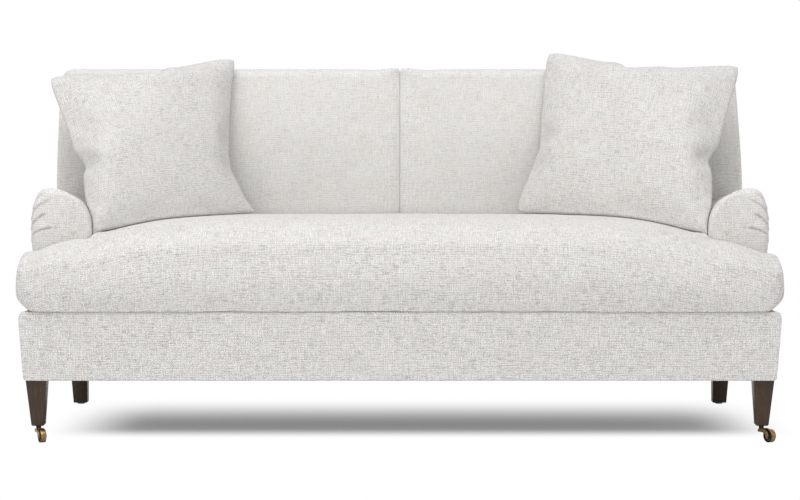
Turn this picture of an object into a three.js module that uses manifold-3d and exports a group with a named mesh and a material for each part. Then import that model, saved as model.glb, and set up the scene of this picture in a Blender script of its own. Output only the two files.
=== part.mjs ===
// English roll arm sofa with one long seat cushion, two throw pillows and front casters.
// Millimetres. X runs along the sofa, Y from its front to its back and Z up from the floor.
// Y starts at the front of the seat cushion, and the finished group is centred over the origin.
// Left is -X and right is +X, as seen from the front.

import * as THREE from 'three';
import { mergeGeometries, mergeVertices } from 'three/addons/utils/BufferGeometryUtils.js';
import Module from 'manifold-3d';

const wasm = await Module();
wasm.setup();

// Overall sizes
const sofaLength = 1880;
const backTop = 929;
const backRake = THREE.MathUtils.degToRad(5.5);
const loungeAngle = THREE.MathUtils.degToRad(12);

// Clearances
const fit = 0.3;
const overrun = 6;
const pinClearance = 0.3;

// Base and wooden frame
const floorGap = 152.5;
const cushionOverhang = 8;
const baseTaper = 13;
const railHeight = 143.5;
const railThick = 28;
const blockSide = 50;
const postDepth = 48;
const postWidth = 48;
const lowerRailHeight = 40;
const lowerRailLift = 34;
const topRailHeight = 49;
const stretcherWidth = 60;
const stretcherDepth = 45;
const stretcherDrop = 6;
const frameTopDrop = 25;

// Upholstery over the base
const noseOverhang = 10;
const borderThick = 13.7;
const borderTopRadius = 22;
const borderBottomRadius = 5;
const panelThick = 10;
const panelInset = 3;
const backPanelThick = 8;
const dustThick = 1.5;
const webbingThick = 2.5;
const deckThick = 21.4;

// Seat springs
const springWire = 4;
const springCount = 7;
const springEndGap = 261;
const springLoopWidth = 44;
const springHalfLoops = 14;
const springTension = 0.5;
const wireSides = 5;
const stepsPerHalfLoop = 2;

// Arms
const armWidth = 157;
const armTop = 618;
const armFront = 172;
const armFall = 18;
const creaseHeight = 440;
const armFrontRound = 28;
const armFrontInset = 22;
const stumpDepth = 28;
const stumpWidth = 48;
const stumpSetback = 30;
const stumpFoot = 200;
const armRailHeight = 28;
const armPadding = 50;
const pocketClearance = 1.5;

// Back
const backDepth = 200;
const topBorderHeight = 20;
const earInset = 7;
const earTaper = 6;
const earLift = 4;
const borderSetback = 3.5;
const padCrown = 20;
const padSeamShare = 0.35;
const padDraw = 3;
const padCornerRadius = 32;
const padFootRadius = 14;

// Seat cushion
const seatDepth = 600;
const seatToPad = 4;
const seatToArm = 4.6;
const earToArm = 7;
const seatCrownTop = 548;
const seatColumns = 14;
const seatEarRows = 3;
const seatBodyRows = 6;
const seatEdgeRadius = 34;
const seatDraw = 6;
const seatArmDrop = 50;
const seatArmPower = 6;
const seatFrontDrop = 78;
const seatFrontReach = 62;
const seatRearDrop = 10;
const seatEarSlope = 0.25;

// Throw pillows
const pillowSide = 559;
const pillowThick = 165;
const pillowFootSetback = 60;
const pillowGap = 0.5;
const pillowGrid = 9;
const edgePullShare = 0.055;
const cornerFullness = 0.42;
// The corners are shares of the pillow's side, from its outer lower corner: [towards the middle, back, up].
const leftPillowShares = {
  inner: [0.69, 0.46, 0.08], outerTop: [-0.28, 0.47, 0.72], innerTop: [0.58, 0.78, 0.81],
};
const rightPillowShares = {
  inner: [0.8, 0.5, 0.09], outerTop: [-0.24, 0.5, 0.775], innerTop: [0.67, 0.79, 0.84],
};

// Legs
const legTopSide = 50;
const frontFootSide = 31.5;
const rearFootSide = 37.5;
const legChamfer = 2;
const legInset = 1;
const frontLegLead = 3.4;
const footDrawIn = 2.4;
const frontFootHeight = 38.7;
const rearLegRake = 18;
const rearLegSetback = 11;
const boltDiameter = 8;
const boltInLeg = 40;
const boltInBlock = 60;
const boltSides = 12;

// Glides
const glideDiameter = 22;
const glideThick = 4;
const glideRoundShare = 0.7;

// Casters
const wheelDiameter = 33;
const wheelWidth = 14;
const wheelDish = 2.3;
const wheelSides = 24;
const casterTrail = 31;
const leftAxleTurn = THREE.MathUtils.degToRad(24);
const rightAxleTurn = THREE.MathUtils.degToRad(31.5);
const axleDiameter = 4;
const axleHeadDiameter = 7;
const axleHeadThick = 1.2;
const cheekThick = 2.4;
const stemDiameter = 6;
const stemInLeg = 30;
const collarDiameter = 15;
const collarThick = 2;
const neckDiameter = 12.5;
const neckHeight = 8.7;
const stemHeadDiameter = 9;
const stemHeadThick = 2.4;

// Outline detail
const arcSteps = 4;
const sideDivisions = 5;

// Places worked out from the sizes above
const half = sofaLength / 2;
const baseDepth = seatDepth + backDepth;
const baseHalf = half - cushionOverhang;
const baseFootHalf = baseHalf - baseTaper;
const railTop = floorGap + railHeight;
const springLine = railTop + fit + springWire / 2;
const deckBottom = springLine + springWire / 2 + fit;
const deckTop = deckBottom + deckThick;
const borderBack = noseOverhang + borderThick;
const railFront = borderBack + fit;
const panelFoot = baseFootHalf - panelInset;
const frameHalf = panelFoot - panelThick - fit;
const railInner = frameHalf - railThick;
const armInner = baseHalf - armWidth;
const padFace = seatDepth + seatToPad;
const seatBodyHalf = armInner - seatToArm;
const seatEarDepth = armFront - earToArm;
const frameTop = backTop - frameTopDrop;
const stumpOuter = railInner - fit;
const stumpInner = stumpOuter - stumpWidth;
const stumpFront = armFront + stumpSetback;
const armRailBottom = armTop - armPadding - armRailHeight;
const postInner = frameHalf - postWidth;
const webbingDepth = backPanelThick + fit + postDepth + fit;
const padBackDepth = webbingDepth + webbingThick + fit;

const rearAt = (z) => baseDepth + (z - floorGap) * Math.tan(backRake);
const panelAt = (z) => {
  const rise = THREE.MathUtils.clamp((z - floorGap) / (creaseHeight - floorGap), 0, 1);
  return panelFoot + rise * (baseTaper - panelInset + fit);
};

// A mesh reduced to its places, with shared points merged.
function welded(geometry) {
  const bare = geometry.clone();
  bare.deleteAttribute('normal');
  bare.deleteAttribute('uv');
  return mergeVertices(bare);
}

// Turns a mesh's faces outward by the sign of its volume.
function facingOut(geometry) {
  const place = geometry.getAttribute('position');
  const index = Array.from(geometry.getIndex().array);
  const [a, b, c] = [new THREE.Vector3(), new THREE.Vector3(), new THREE.Vector3()];
  let volume = 0;
  for (let i = 0; i < index.length; i += 3) {
    a.fromBufferAttribute(place, index[i]);
    b.fromBufferAttribute(place, index[i + 1]);
    c.fromBufferAttribute(place, index[i + 2]);
    volume += a.dot(b.cross(c));
  }
  if (volume < 0) index.reverse();
  geometry.setIndex(index);
  return geometry;
}

// Joins rings of points into one body. A ring of one point closes an end as a pole, and a longer
// end ring is closed by a flat fan, unless the last one stays open for another surface to close.
function loft(rings, closeLast = true) {
  const points = rings.flat();
  const index = [];
  let start = 0;
  for (let r = 0; r + 1 < rings.length; r += 1) {
    const [now, next] = [rings[r].length, rings[r + 1].length];
    const count = Math.max(now, next);
    for (let i = 0; i < count; i += 1) {
      const j = (i + 1) % count;
      if (next === 1) index.push(start + i, start + j, start + now);
      else if (now === 1) index.push(start, start + 1 + j, start + 1 + i);
      else {
        index.push(start + i, start + j, start + now + j);
        index.push(start + i, start + now + j, start + now + i);
      }
    }
    start += now;
  }
  const lastLength = closeLast ? rings[rings.length - 1].length : 0;
  for (let i = 1; i + 1 < rings[0].length; i += 1) index.push(0, i + 1, i);
  for (let i = 1; i + 1 < lastLength; i += 1) index.push(start, start + i, start + i + 1);
  const geometry = new THREE.BufferGeometry().setFromPoints(points);
  geometry.setIndex(index);
  return closeLast ? facingOut(geometry) : geometry;
}

const v3 = (x, y, z) => new THREE.Vector3(x, y, z);

// A box between two corners.
function box(x0, x1, y0, y1, z0, z1) {
  const geometry = new THREE.BoxGeometry(x1 - x0, y1 - y0, z1 - z0);
  return geometry.translate((x0 + x1) / 2, (y0 + y1) / 2, (z0 + z1) / 2);
}

// A bar that leans with the back. Its near and far faces lie at two depths in front of the rear plane.
function leaningBar(x0, x1, depthNear, depthFar, z0, z1) {
  const ring = (z) => [
    v3(x0, rearAt(z) - depthFar, z), v3(x1, rearAt(z) - depthFar, z),
    v3(x1, rearAt(z) - depthNear, z), v3(x0, rearAt(z) - depthNear, z),
  ];
  return loft([ring(z0), ring(z1)]);
}

// A plate cut to an outline of [x, y] points and standing from z0 to z1.
function plate(outline, z0, z1) {
  const shape = new THREE.Shape(outline.map(([x, y]) => new THREE.Vector2(x, y)));
  const geometry = new THREE.ExtrudeGeometry(shape, { depth: z1 - z0, bevelEnabled: false });
  return geometry.translate(0, 0, z0);
}

// A round bar along Z.
function rod(diameter, z0, z1, sides) {
  const geometry = new THREE.CylinderGeometry(diameter / 2, diameter / 2, z1 - z0, sides);
  return geometry.rotateX(Math.PI / 2).translate(0, 0, (z0 + z1) / 2);
}

// A turned body round Z from [radius, z] points, which start and end on the axis or close on themselves.
function turned(profile, sides) {
  const points = profile.map(([r, z]) => new THREE.Vector2(r, z));
  return new THREE.LatheGeometry(points, sides).rotateX(Math.PI / 2);
}

function toSolid(geometry) {
  const merged = facingOut(welded(geometry));
  const vertProperties = new Float32Array(merged.getAttribute('position').array);
  const triVerts = new Uint32Array(merged.getIndex().array);
  return new wasm.Manifold(new wasm.Mesh({ numProp: 3, vertProperties, triVerts }));
}

function fromSolid(solid) {
  const mesh = solid.getMesh();
  const geometry = new THREE.BufferGeometry();
  geometry.setAttribute('position', new THREE.BufferAttribute(new Float32Array(mesh.vertProperties), 3));
  geometry.setIndex(Array.from(mesh.triVerts));
  return geometry;
}

// One body with others cut out of it.
function cut(body, ...tools) {
  return fromSolid(tools.reduce((left, tool) => left.subtract(toSolid(tool)), toSolid(body)));
}

// Several overlapping bodies as one.
function joined(...bodies) {
  return fromSolid(bodies.slice(1).reduce((sum, body) => sum.add(toSolid(body)), toSolid(bodies[0])));
}

// Rounds the corners [a, b, radius] of an outline and divides its straight stretches.
function rounded(corners) {
  const points = [];
  corners.forEach(([x, y, radius], i) => {
    const [px, py] = corners[(i + corners.length - 1) % corners.length];
    const [nx, ny] = corners[(i + 1) % corners.length];
    const here = new THREE.Vector2(x, y);
    const before = new THREE.Vector2(px, py).sub(here).normalize().multiplyScalar(radius).add(here);
    const after = new THREE.Vector2(nx, ny).sub(here).normalize().multiplyScalar(radius).add(here);
    points.push(...new THREE.QuadraticBezierCurve(before, here, after).getPoints(arcSteps));
  });
  return points;
}

// Adds points along the long stretches, drawn inward in the middle of each stretch.
function drawnIn(outline, longest, draw) {
  const points = [];
  outline.forEach((here, i) => {
    const next = outline[(i + 1) % outline.length];
    const length = here.distanceTo(next);
    points.push(here);
    if (length < longest) return;
    const inward = new THREE.Vector2(here.y - next.y, next.x - here.x).normalize();
    for (let k = 1; k < sideDivisions; k += 1) {
      const share = k / sideDivisions;
      const pull = draw * Math.sin(Math.PI * share);
      points.push(here.clone().lerp(next, share).addScaledVector(inward, pull));
    }
  });
  return points;
}

// The outline, which runs anticlockwise, moved inward by one distance.
function inset(outline, distance) {
  return outline.map((here, i) => {
    const before = outline[(i + outline.length - 1) % outline.length];
    const next = outline[(i + 1) % outline.length];
    const along = next.clone().sub(before).normalize();
    return here.clone().add(new THREE.Vector2(-along.y, along.x).multiplyScalar(distance));
  });
}

const shrunk = (outline, centre, share) => outline.map((p) => centre.clone().lerp(p, share));
const mirrored = (geometry) => facingOut(welded(geometry).scale(-1, 1, 1));

// Seat cushion: a T-shaped bench whose two front ears stand before the arms.
function seatTopAt(x, y) {
  const across = Math.min(Math.abs(x) / seatBodyHalf, 1);
  const beyond = Math.max(Math.abs(x) - seatBodyHalf, 0);
  const rearShare = THREE.MathUtils.clamp((2 * y) / seatDepth - 1, 0, 1);
  const front = seatFrontDrop * Math.exp(-Math.max(y, 0) / seatFrontReach);
  const drop = seatArmDrop * across ** seatArmPower + beyond * seatEarSlope;
  return seatCrownTop - drop - front - seatRearDrop * rearShare;
}

// Places from one value to another with even steps.
const evenly = (from, to, steps) => (
  Array.from({ length: steps + 1 }, (_, i) => THREE.MathUtils.lerp(from, to, i / steps))
);

function seatCushion() {
  const edge = seatEdgeRadius;
  const [earRear, earSide, bodySide] = [seatEarDepth - edge, half - edge, seatBodyHalf - edge];
  const body = evenly(-bodySide, bodySide, seatColumns);
  const xs = [-earSide, (-earSide - bodySide) / 2, ...body, (earSide + bodySide) / 2, earSide];
  const bodyRows = evenly(earRear, seatDepth - edge, seatBodyRows).slice(1);
  const ys = [...evenly(edge, earRear, seatEarRows), ...bodyRows];
  const [lastX, lastY, firstBody, lastBody] = [xs.length - 1, ys.length - 1, 2, xs.length - 3];
  const top = (i, j) => v3(xs[i], ys[j], seatTopAt(xs[i], ys[j]));
  const triangles = [];
  for (let j = 0; j < lastY; j += 1) {
    const [from, to] = j < seatEarRows ? [0, lastX] : [firstBody, lastBody];
    for (let i = from; i < to; i += 1) {
      const [a, b, c, d] = [top(i, j), top(i + 1, j), top(i + 1, j + 1), top(i, j + 1)];
      triangles.push(...(i < lastX / 2 ? [a, b, d, b, c, d] : [a, b, c, a, c, d]));
    }
  }
  const loop = [];
  for (let i = 0; i < lastX; i += 1) loop.push(top(i, 0));
  for (let j = 0; j < seatEarRows; j += 1) loop.push(top(lastX, j));
  for (let i = lastX; i > lastBody; i -= 1) loop.push(top(i, seatEarRows));
  for (let j = seatEarRows; j < lastY; j += 1) loop.push(top(lastBody, j));
  for (let i = lastBody; i > firstBody; i -= 1) loop.push(top(i, lastY));
  for (let j = lastY; j > seatEarRows; j -= 1) loop.push(top(firstBody, j));
  for (let i = firstBody; i > 0; i -= 1) loop.push(top(i, seatEarRows));
  for (let j = seatEarRows; j > 0; j -= 1) loop.push(top(0, j));
  const flat = loop.map((p) => new THREE.Vector2(p.x, p.y));
  const bottom = deckTop + fit;
  const drawAt = (x) => seatDraw * (1 - (x / earSide) ** 2);
  const outward = inset(flat, -1).map((p, i) => p.sub(flat[i]));
  const ringAt = (outShare, heightShare) => flat.map((p, i) => {
    const place = p.clone().addScaledVector(outward[i], outShare * (edge - drawAt(p.x)));
    return v3(place.x, place.y, THREE.MathUtils.lerp(bottom, loop[i].z, heightShare));
  });
  const sideShares = [[0.6, 0], [0.9, 0.06], [1, 0.3], [0.97, 0.58], [0.84, 0.78], [0.5, 0.94]];
  const sides = sideShares.map(([outShare, heightShare]) => ringAt(outShare, heightShare));
  const skirt = loft([[v3(0, seatEarDepth / 2, bottom)], ...sides, loop], false);
  const cover = new THREE.BufferGeometry().setFromPoints(triangles);
  return facingOut(welded(mergeGeometries([skirt.toNonIndexed(), cover])));
}

// Arms: a padded roll over a stump and a top rail, with the roll's crease above the outside panel.
const armTopAt = (y) => armTop - armFall * THREE.MathUtils.clamp((y - armFront) / (padFace - armFront), 0, 1);

// [across, up] from the foot of the arm's inner face
const armShares = [
  [0, 0], [0, 0.32], [0, 0.624], [0.045, 0.779], [0.146, 0.873], [0.24, 0.922], [0.35, 0.957], [0.5, 0.987],
  [0.62, 1], [0.76, 1], [0.87, 0.968], [0.94, 0.9], [0.98, 0.825], [1, 0.73], [1, 0.6], [0.98, 0.5],
];
const armFoot = railTop + fit;

// The x of the right arm's inner face at a height, as far up as the crown of the roll.
function armInnerAt(z) {
  const share = (z - armFoot) / (armTop - armFoot);
  const crown = armShares.findIndex(([, up]) => up === 1);
  const next = armShares.findIndex(([, up], i) => i > 0 && i <= crown && share < up);
  if (next < 0) return Infinity;
  const [[xa, za], [xb, zb]] = [armShares[next - 1], armShares[next]];
  return armInner + armWidth * THREE.MathUtils.mapLinear(share, za, zb, xa, xb);
}

function rightArm() {
  const roll = armShares.map(([across, up]) => (
    new THREE.Vector2(armInner + across * armWidth, armFoot + up * (armTop - armFoot))
  ));
  const underside = [
    new THREE.Vector2(panelAt(creaseHeight), creaseHeight + fit),
    new THREE.Vector2(panelAt(creaseHeight) - panelThick - fit, creaseHeight + fit),
    new THREE.Vector2(panelFoot - panelThick - fit, armFoot),
  ];
  const outline = [...roll, ...underside];
  const fallen = (z, y) => {
    if (z <= creaseHeight + fit) return z;
    return creaseHeight + (z - creaseHeight) * ((armTopAt(y) - creaseHeight) / (armTop - creaseHeight));
  };
  const centre = new THREE.Vector2(armInner + armWidth / 2, (armFoot + armTop) / 2);
  const section = (y, distance) => outline.map((p) => {
    const x = centre.x + (p.x - centre.x) * (1 - distance / (armWidth / 2));
    const z = centre.y + (p.y - centre.y) * (1 - distance / (armTop - centre.y));
    return v3(x, y, fallen(z, y));
  });
  const rearSection = outline.map((p) => {
    const z = fallen(p.y, padFace);
    return v3(p.x, rearAt(z) - padBackDepth, z);
  });
  const roundShares = [[0, 1], [0.12, 0.55], [0.45, 0.15], [1, 0]];
  const sections = roundShares.map(([along, insetShare]) => (
    section(armFront + along * armFrontRound, insetShare * armFrontInset)
  ));
  const middle = v3(centre.x, armFront, centre.y);
  const atPad = outline.map((p) => v3(p.x, padFace, fallen(p.y, padFace)));
  const body = loft([[middle], ...sections, atPad, rearSection]);
  const low = armFoot - overrun;
  const railRoof = armRailBottom + armRailHeight + pocketClearance;
  const [inner, outer] = [stumpInner - pocketClearance, stumpOuter + pocketClearance];
  const stumpEnd = stumpFront + stumpDepth + pocketClearance;
  const stumpPocket = box(inner, outer, stumpFront - pocketClearance, stumpEnd, low, railRoof);
  const railEnd = rearAt(backTop);
  const pocketFront = stumpFront - pocketClearance;
  const railPocket = box(inner, outer, pocketFront, railEnd, armRailBottom - pocketClearance, railRoof);
  return cut(body, stumpPocket, railPocket);
}

// Back sections: an L each, whose upper ear reaches out over the arm.
const earHalfAt = (z) => baseHalf - earInset - earTaper * ((z - armTop) / (backTop - armTop));
const padFrontPlane = (z) => padFace + Math.max(0, z - seatCrownTop) * Math.tan(loungeAngle);

function padBulge(x, z) {
  const across = THREE.MathUtils.clamp(Math.abs(x) / earHalfAt(z), 0, 1);
  const up = THREE.MathUtils.clamp((z - seatCrownTop) / (backTop - seatCrownTop), 0, 1);
  const acrossShape = padSeamShare + (1 - padSeamShare) * Math.sin(Math.PI * across);
  return padCrown * acrossShape * Math.sin(Math.PI * up);
}

function rightBackPad() {
  const [foot, top] = [deckTop + fit, backTop];
  const earBottom = armTopAt(padFace) + earLift;
  const outline = drawnIn(rounded([
    [fit, foot, padFootRadius], [seatBodyHalf, foot, padFootRadius],
    [seatBodyHalf, earBottom, padFootRadius], [earHalfAt(earBottom), earBottom, padCornerRadius],
    [earHalfAt(top), top, padCornerRadius], [fit, top, padFootRadius],
  ]), padCornerRadius * 2, padDraw);
  const centre = new THREE.Vector2(seatBodyHalf / 2, (earBottom + top) / 2);
  const padBack = (z) => rearAt(z) - padBackDepth;
  const ring = (flat, depthShare) => flat.map((p) => (
    v3(p.x, THREE.MathUtils.lerp(padBack(p.y), padFrontPlane(p.y), depthShare), p.y)
  ));
  const front = (flat, sinkShare) => flat.map((p) => (
    v3(p.x, padFrontPlane(p.y) - padBulge(p.x, p.y) + sinkShare * padCornerRadius, p.y)
  ));
  const sideShares = [[0.4, 0], [0.1, 0.12], [0, 0.45], [0.1, 0.78]];
  const side = sideShares.map(([insetShare, depthShare]) => (
    ring(inset(outline, insetShare * padCornerRadius), depthShare)
  ));
  const faceShares = [[0.35, 0.28], [0.8, 0.06]];
  const face = faceShares.map(([insetShare, sinkShare]) => (
    front(inset(outline, insetShare * padFootRadius), sinkShare)
  ));
  const ringShares = [0.85, 0.62, 0.35];
  const last = inset(outline, padFootRadius);
  const middles = ringShares.map((share) => front(shrunk(last, centre, share), 0));
  const pole = [new THREE.Vector2(centre.x, centre.y)];
  return loft([ring(pole, 0), ...side, ...face, ...middles, front(pole, 0)]);
}

// The pillow's front and back points on a grid, with a knife edge all round.
function pillowSheets(side, shares) {
  const corner = ([across, back, up]) => v3(-side * across, back, up).multiplyScalar(pillowSide);
  const low = [v3(0, 0, 0), corner(shares.inner)];
  const high = [corner(shares.outerTop), corner(shares.innerTop)];
  const across = low[1].clone().add(high[1]).sub(low[0]).sub(high[0]).normalize();
  const up = high[0].clone().add(high[1]).sub(low[0]).sub(low[1]).normalize();
  const normal = across.clone().cross(up).multiplyScalar(side).normalize();
  const sheet = (sign) => Array.from({ length: pillowGrid + 1 }, (_, j) => (
    Array.from({ length: pillowGrid + 1 }, (_unused, i) => {
      const [s, t] = [i / pillowGrid, j / pillowGrid].map((k) => (1 - Math.cos(Math.PI * k)) / 2);
      const [a, b] = [2 * s - 1, 2 * t - 1];
      const pullA = 1 - 2 * edgePullShare * (1 - b * b);
      const pullB = 1 - 2 * edgePullShare * (1 - a * a);
      const [u, w] = [(1 + a * pullA) / 2, (1 + b * pullB) / 2];
      const point = low[0].clone().lerp(low[1], u).lerp(high[0].clone().lerp(high[1], u), w);
      const full = ((1 - a * a) * (1 - b * b)) ** cornerFullness;
      return point.addScaledVector(normal, sign * full * pillowThick / 2);
    })
  ));
  return [sheet(-1), sheet(1)];
}

// Closes the two sheets along their shared edge.
function pillowGeometry(sheets) {
  const index = [];
  const points = [];
  const across = pillowGrid + 1;
  const isEdge = (i, j) => i === 0 || j === 0 || i === pillowGrid || j === pillowGrid;
  const numbers = sheets.map((rows, s) => rows.map((row, j) => row.map((p, i) => {
    if (s === 1 && isEdge(i, j)) return j * across + i;
    points.push(p);
    return points.length - 1;
  })));
  numbers.forEach((rows, s) => {
    for (let j = 0; j < pillowGrid; j += 1) {
      for (let i = 0; i < pillowGrid; i += 1) {
        const [a, b, c, d] = [rows[j][i], rows[j][i + 1], rows[j + 1][i + 1], rows[j + 1][i]];
        const turn = (i < pillowGrid / 2) === (j < pillowGrid / 2);
        const faces = turn ? [[a, b, c], [a, c, d]] : [[a, b, d], [b, c, d]];
        faces.forEach((face) => index.push(...(s === 0 ? face : [...face].reverse())));
      }
    }
  });
  const geometry = new THREE.BufferGeometry().setFromPoints(points);
  geometry.setIndex(index);
  return facingOut(geometry);
}

// Sets a pillow in its corner, against the arm, on the seat and against the back section.
function pillow(side, shares) {
  const sheets = pillowSheets(side, shares);
  const points = sheets.flat(2);
  const move = v3(side * armInner, armFront + pillowFootSetback, seatTopAt(armInner, armFront));
  const shift = (vector) => move.add(vector);
  const settle = () => {
    const over = Math.max(...points.map((p) => {
      const [x, y, z] = [Math.abs(p.x + move.x), p.y + move.y, p.z + move.z];
      return y < armFront ? -half : x - armInnerAt(z);
    }));
    if (over > -pillowGap) shift(v3(-side * (over + pillowGap), 0, 0));
    const into = Math.max(...points.map((p) => {
      const [x, y, z] = [p.x + move.x, p.y + move.y, p.z + move.z];
      return z > backTop ? -half : y - padFrontPlane(z) + padBulge(x, z);
    }));
    shift(v3(0, -(into + pillowGap), 0));
    const sunk = Math.max(...points.map((p) => {
      const [x, y, z] = [p.x + move.x, p.y + move.y, p.z + move.z];
      return Math.abs(x) > half ? -half : seatTopAt(x, y) - z;
    }));
    shift(v3(0, 0, sunk + pillowGap));
  };
  settle();
  settle();
  return pillowGeometry(sheets).translate(move.x, move.y, move.z);
}

// Front border, a padded panel with rounded top corners.
function frontBorder() {
  const outline = rounded([
    [-baseFootHalf, floorGap, borderBottomRadius], [baseFootHalf, floorGap, borderBottomRadius],
    [baseHalf, deckTop, borderTopRadius], [-baseHalf, deckTop, borderTopRadius],
  ]);
  const depthShares = [[0.14, 0], [0, 0.3], [0, 0.6], [0.12, 0.88], [0.4, 1]];
  const rings = depthShares.map(([insetShare, depthShare]) => (
    inset(outline, insetShare * borderThick).map((p) => v3(p.x, borderBack - depthShare * borderThick, p.y))
  ));
  return loft(rings);
}

// Outside arm panel, level with the deck before the arm and with the roll's crease behind it.
function rightOutsideArm() {
  const rearFree = (z) => rearAt(z) - padBackDepth;
  const outline = [
    [railFront, floorGap], [rearFree(floorGap), floorGap], [rearFree(creaseHeight), creaseHeight],
    [armFront, creaseHeight], [armFront, deckTop], [railFront, deckTop],
  ];
  const shape = new THREE.Shape(outline.map(([y, z]) => new THREE.Vector2(y, z)));
  const geometry = new THREE.ExtrudeGeometry(shape, { depth: panelThick, bevelEnabled: false });
  const place = geometry.getAttribute('position');
  for (let i = 0; i < place.count; i += 1) {
    const [y, z, depth] = [place.getX(i), place.getY(i), place.getZ(i)];
    place.setXYZ(i, panelAt(z) - panelThick + depth, y, z);
  }
  return facingOut(welded(geometry));
}

// Side border of the back, from the base to the top.
function rightBackBorder() {
  const heights = [floorGap, creaseHeight, armTop, frameTop + topBorderHeight];
  const outerAt = (z) => (z > armTop ? earHalfAt(z) - borderSetback : panelAt(z));
  const ring = (z) => {
    const [x0, x1] = [outerAt(z) - panelThick, outerAt(z)];
    const [y0, y1] = [rearAt(z) - padBackDepth + fit, rearAt(z) - backPanelThick - fit];
    return [v3(x0, y0, z), v3(x1, y0, z), v3(x1, y1, z), v3(x0, y1, z)];
  };
  return loft(heights.map(ring));
}

const legCentre = baseFootHalf - legInset - legTopSide / 2;
const frontLegY = railFront - frontLegLead + legTopSide / 2 - legInset;
const rearLegY = rearAt(floorGap) - rearLegSetback - legTopSide / 2;
const rearFootHeight = glideThick + fit;

// A square leg that tapers to its foot, with eased edges.
function rightLeg(topY, footY, footSide, footHeight) {
  const ring = (x, y, z, side) => {
    const [h, e] = [side / 2, side / 2 - legChamfer];
    return [[-e, -h], [e, -h], [h, -e], [h, e], [e, h], [-e, h], [-h, e], [-h, -e]]
      .map(([dx, dy]) => v3(x + dx, y + dy, z));
  };
  return loft([
    ring(legCentre - footDrawIn, footY, footHeight, footSide),
    ring(legCentre, topY, floorGap - fit, legTopSide),
  ]);
}

const boltHole = (y, z0, z1) => (
  rod(boltDiameter + 2 * pinClearance, z0, z1, boltSides).translate(legCentre, y, 0)
);

// Caster parts, standing at the swivel axis with the trail along +X.
const footCentre = legCentre - footDrawIn;
const collarTop = frontFootHeight - fit;
const neckTop = collarTop - collarThick - fit;
const neckBottom = neckTop - neckHeight;
const axleHeight = (wheelDiameter / 2) * Math.cos(Math.PI / wheelSides);
const cheekInner = wheelWidth / 2 + pinClearance;
const cheekOuter = cheekInner + cheekThick;

function casterStem() {
  const [pin, head, collar] = [stemDiameter / 2, stemHeadDiameter / 2, collarDiameter / 2];
  const headTop = neckBottom - fit;
  return turned([
    [0, headTop - stemHeadThick], [head, headTop - stemHeadThick], [head, headTop], [pin, headTop],
    [pin, neckTop + fit], [collar, neckTop + fit], [collar, collarTop], [pin, collarTop],
    [pin, frontFootHeight + stemInLeg], [0, frontFootHeight + stemInLeg],
  ], boltSides);
}

// The cheek's outline as [along the trail, up] shares of the trail and the neck's top
const cheekShares = [
  [0.1, 0.8], [0.1, 1], [0.36, 1], [0.72, 0.93], [1.02, 0.72], [1.14, 0.46], [1.08, 0.28], [0.92, 0.28],
  [0.84, 0.46], [0.78, 0.62], [0.56, 0.75], [0.36, 0.8],
];
function casterHorn() {
  const outline = cheekShares.map(([r, z]) => new THREE.Vector2(r * casterTrail, z * neckTop));
  const shape = new THREE.Shape(outline);
  const fork = new THREE.ExtrudeGeometry(shape, { depth: 2 * cheekOuter, bevelEnabled: false });
  fork.rotateX(Math.PI / 2).translate(0, cheekOuter, 0);
  const slotStart = neckDiameter / 2 + cheekThick;
  const slotEnd = casterTrail + wheelDiameter;
  const slot = box(slotStart, slotEnd, -cheekInner, cheekInner, -overrun, neckTop + overrun);
  const neck = rod(neckDiameter, neckBottom, neckTop, boltSides);
  const eye = rod(stemDiameter + 2 * pinClearance, -overrun, neckTop + overrun, boltSides);
  const axleReach = cheekOuter + overrun;
  const axleHole = rod(axleDiameter + 2 * pinClearance, -axleReach, axleReach, boltSides)
    .rotateX(Math.PI / 2).translate(casterTrail, 0, axleHeight);
  return cut(joined(cut(fork, slot), neck), eye, axleHole);
}

function casterWheel() {
  const [bore, rim, halfWidth] = [axleDiameter / 2 + pinClearance, wheelDiameter / 2, wheelWidth / 2];
  const face = halfWidth - wheelDish;
  const wheel = turned([
    [bore, -halfWidth], [axleHeadDiameter, -halfWidth], [axleHeadDiameter, -face],
    [rim - wheelDish, -face], [rim - wheelDish, -halfWidth], [rim, -halfWidth],
    [rim, halfWidth], [bore, halfWidth], [bore, -halfWidth],
  ], wheelSides);
  wheel.rotateZ(Math.PI / wheelSides);
  return wheel.rotateX(Math.PI / 2).translate(casterTrail, 0, axleHeight);
}

function casterAxle() {
  const [pin, head, end] = [axleDiameter / 2, axleHeadDiameter / 2, cheekOuter + fit];
  return turned([
    [0, -end - axleHeadThick], [head, -end - axleHeadThick], [head, -end], [pin, -end],
    [pin, end], [head, end], [head, end + axleHeadThick], [0, end + axleHeadThick],
  ], boltSides).rotateX(Math.PI / 2).translate(casterTrail, 0, axleHeight);
}

// Turns a caster part about its swivel axis and sets it under a front leg.
const underLeg = (geometry, side, axleTurn) => (
  geometry.rotateZ(axleTurn - Math.PI / 2).translate(side * footCentre, frontLegY, 0)
);

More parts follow.
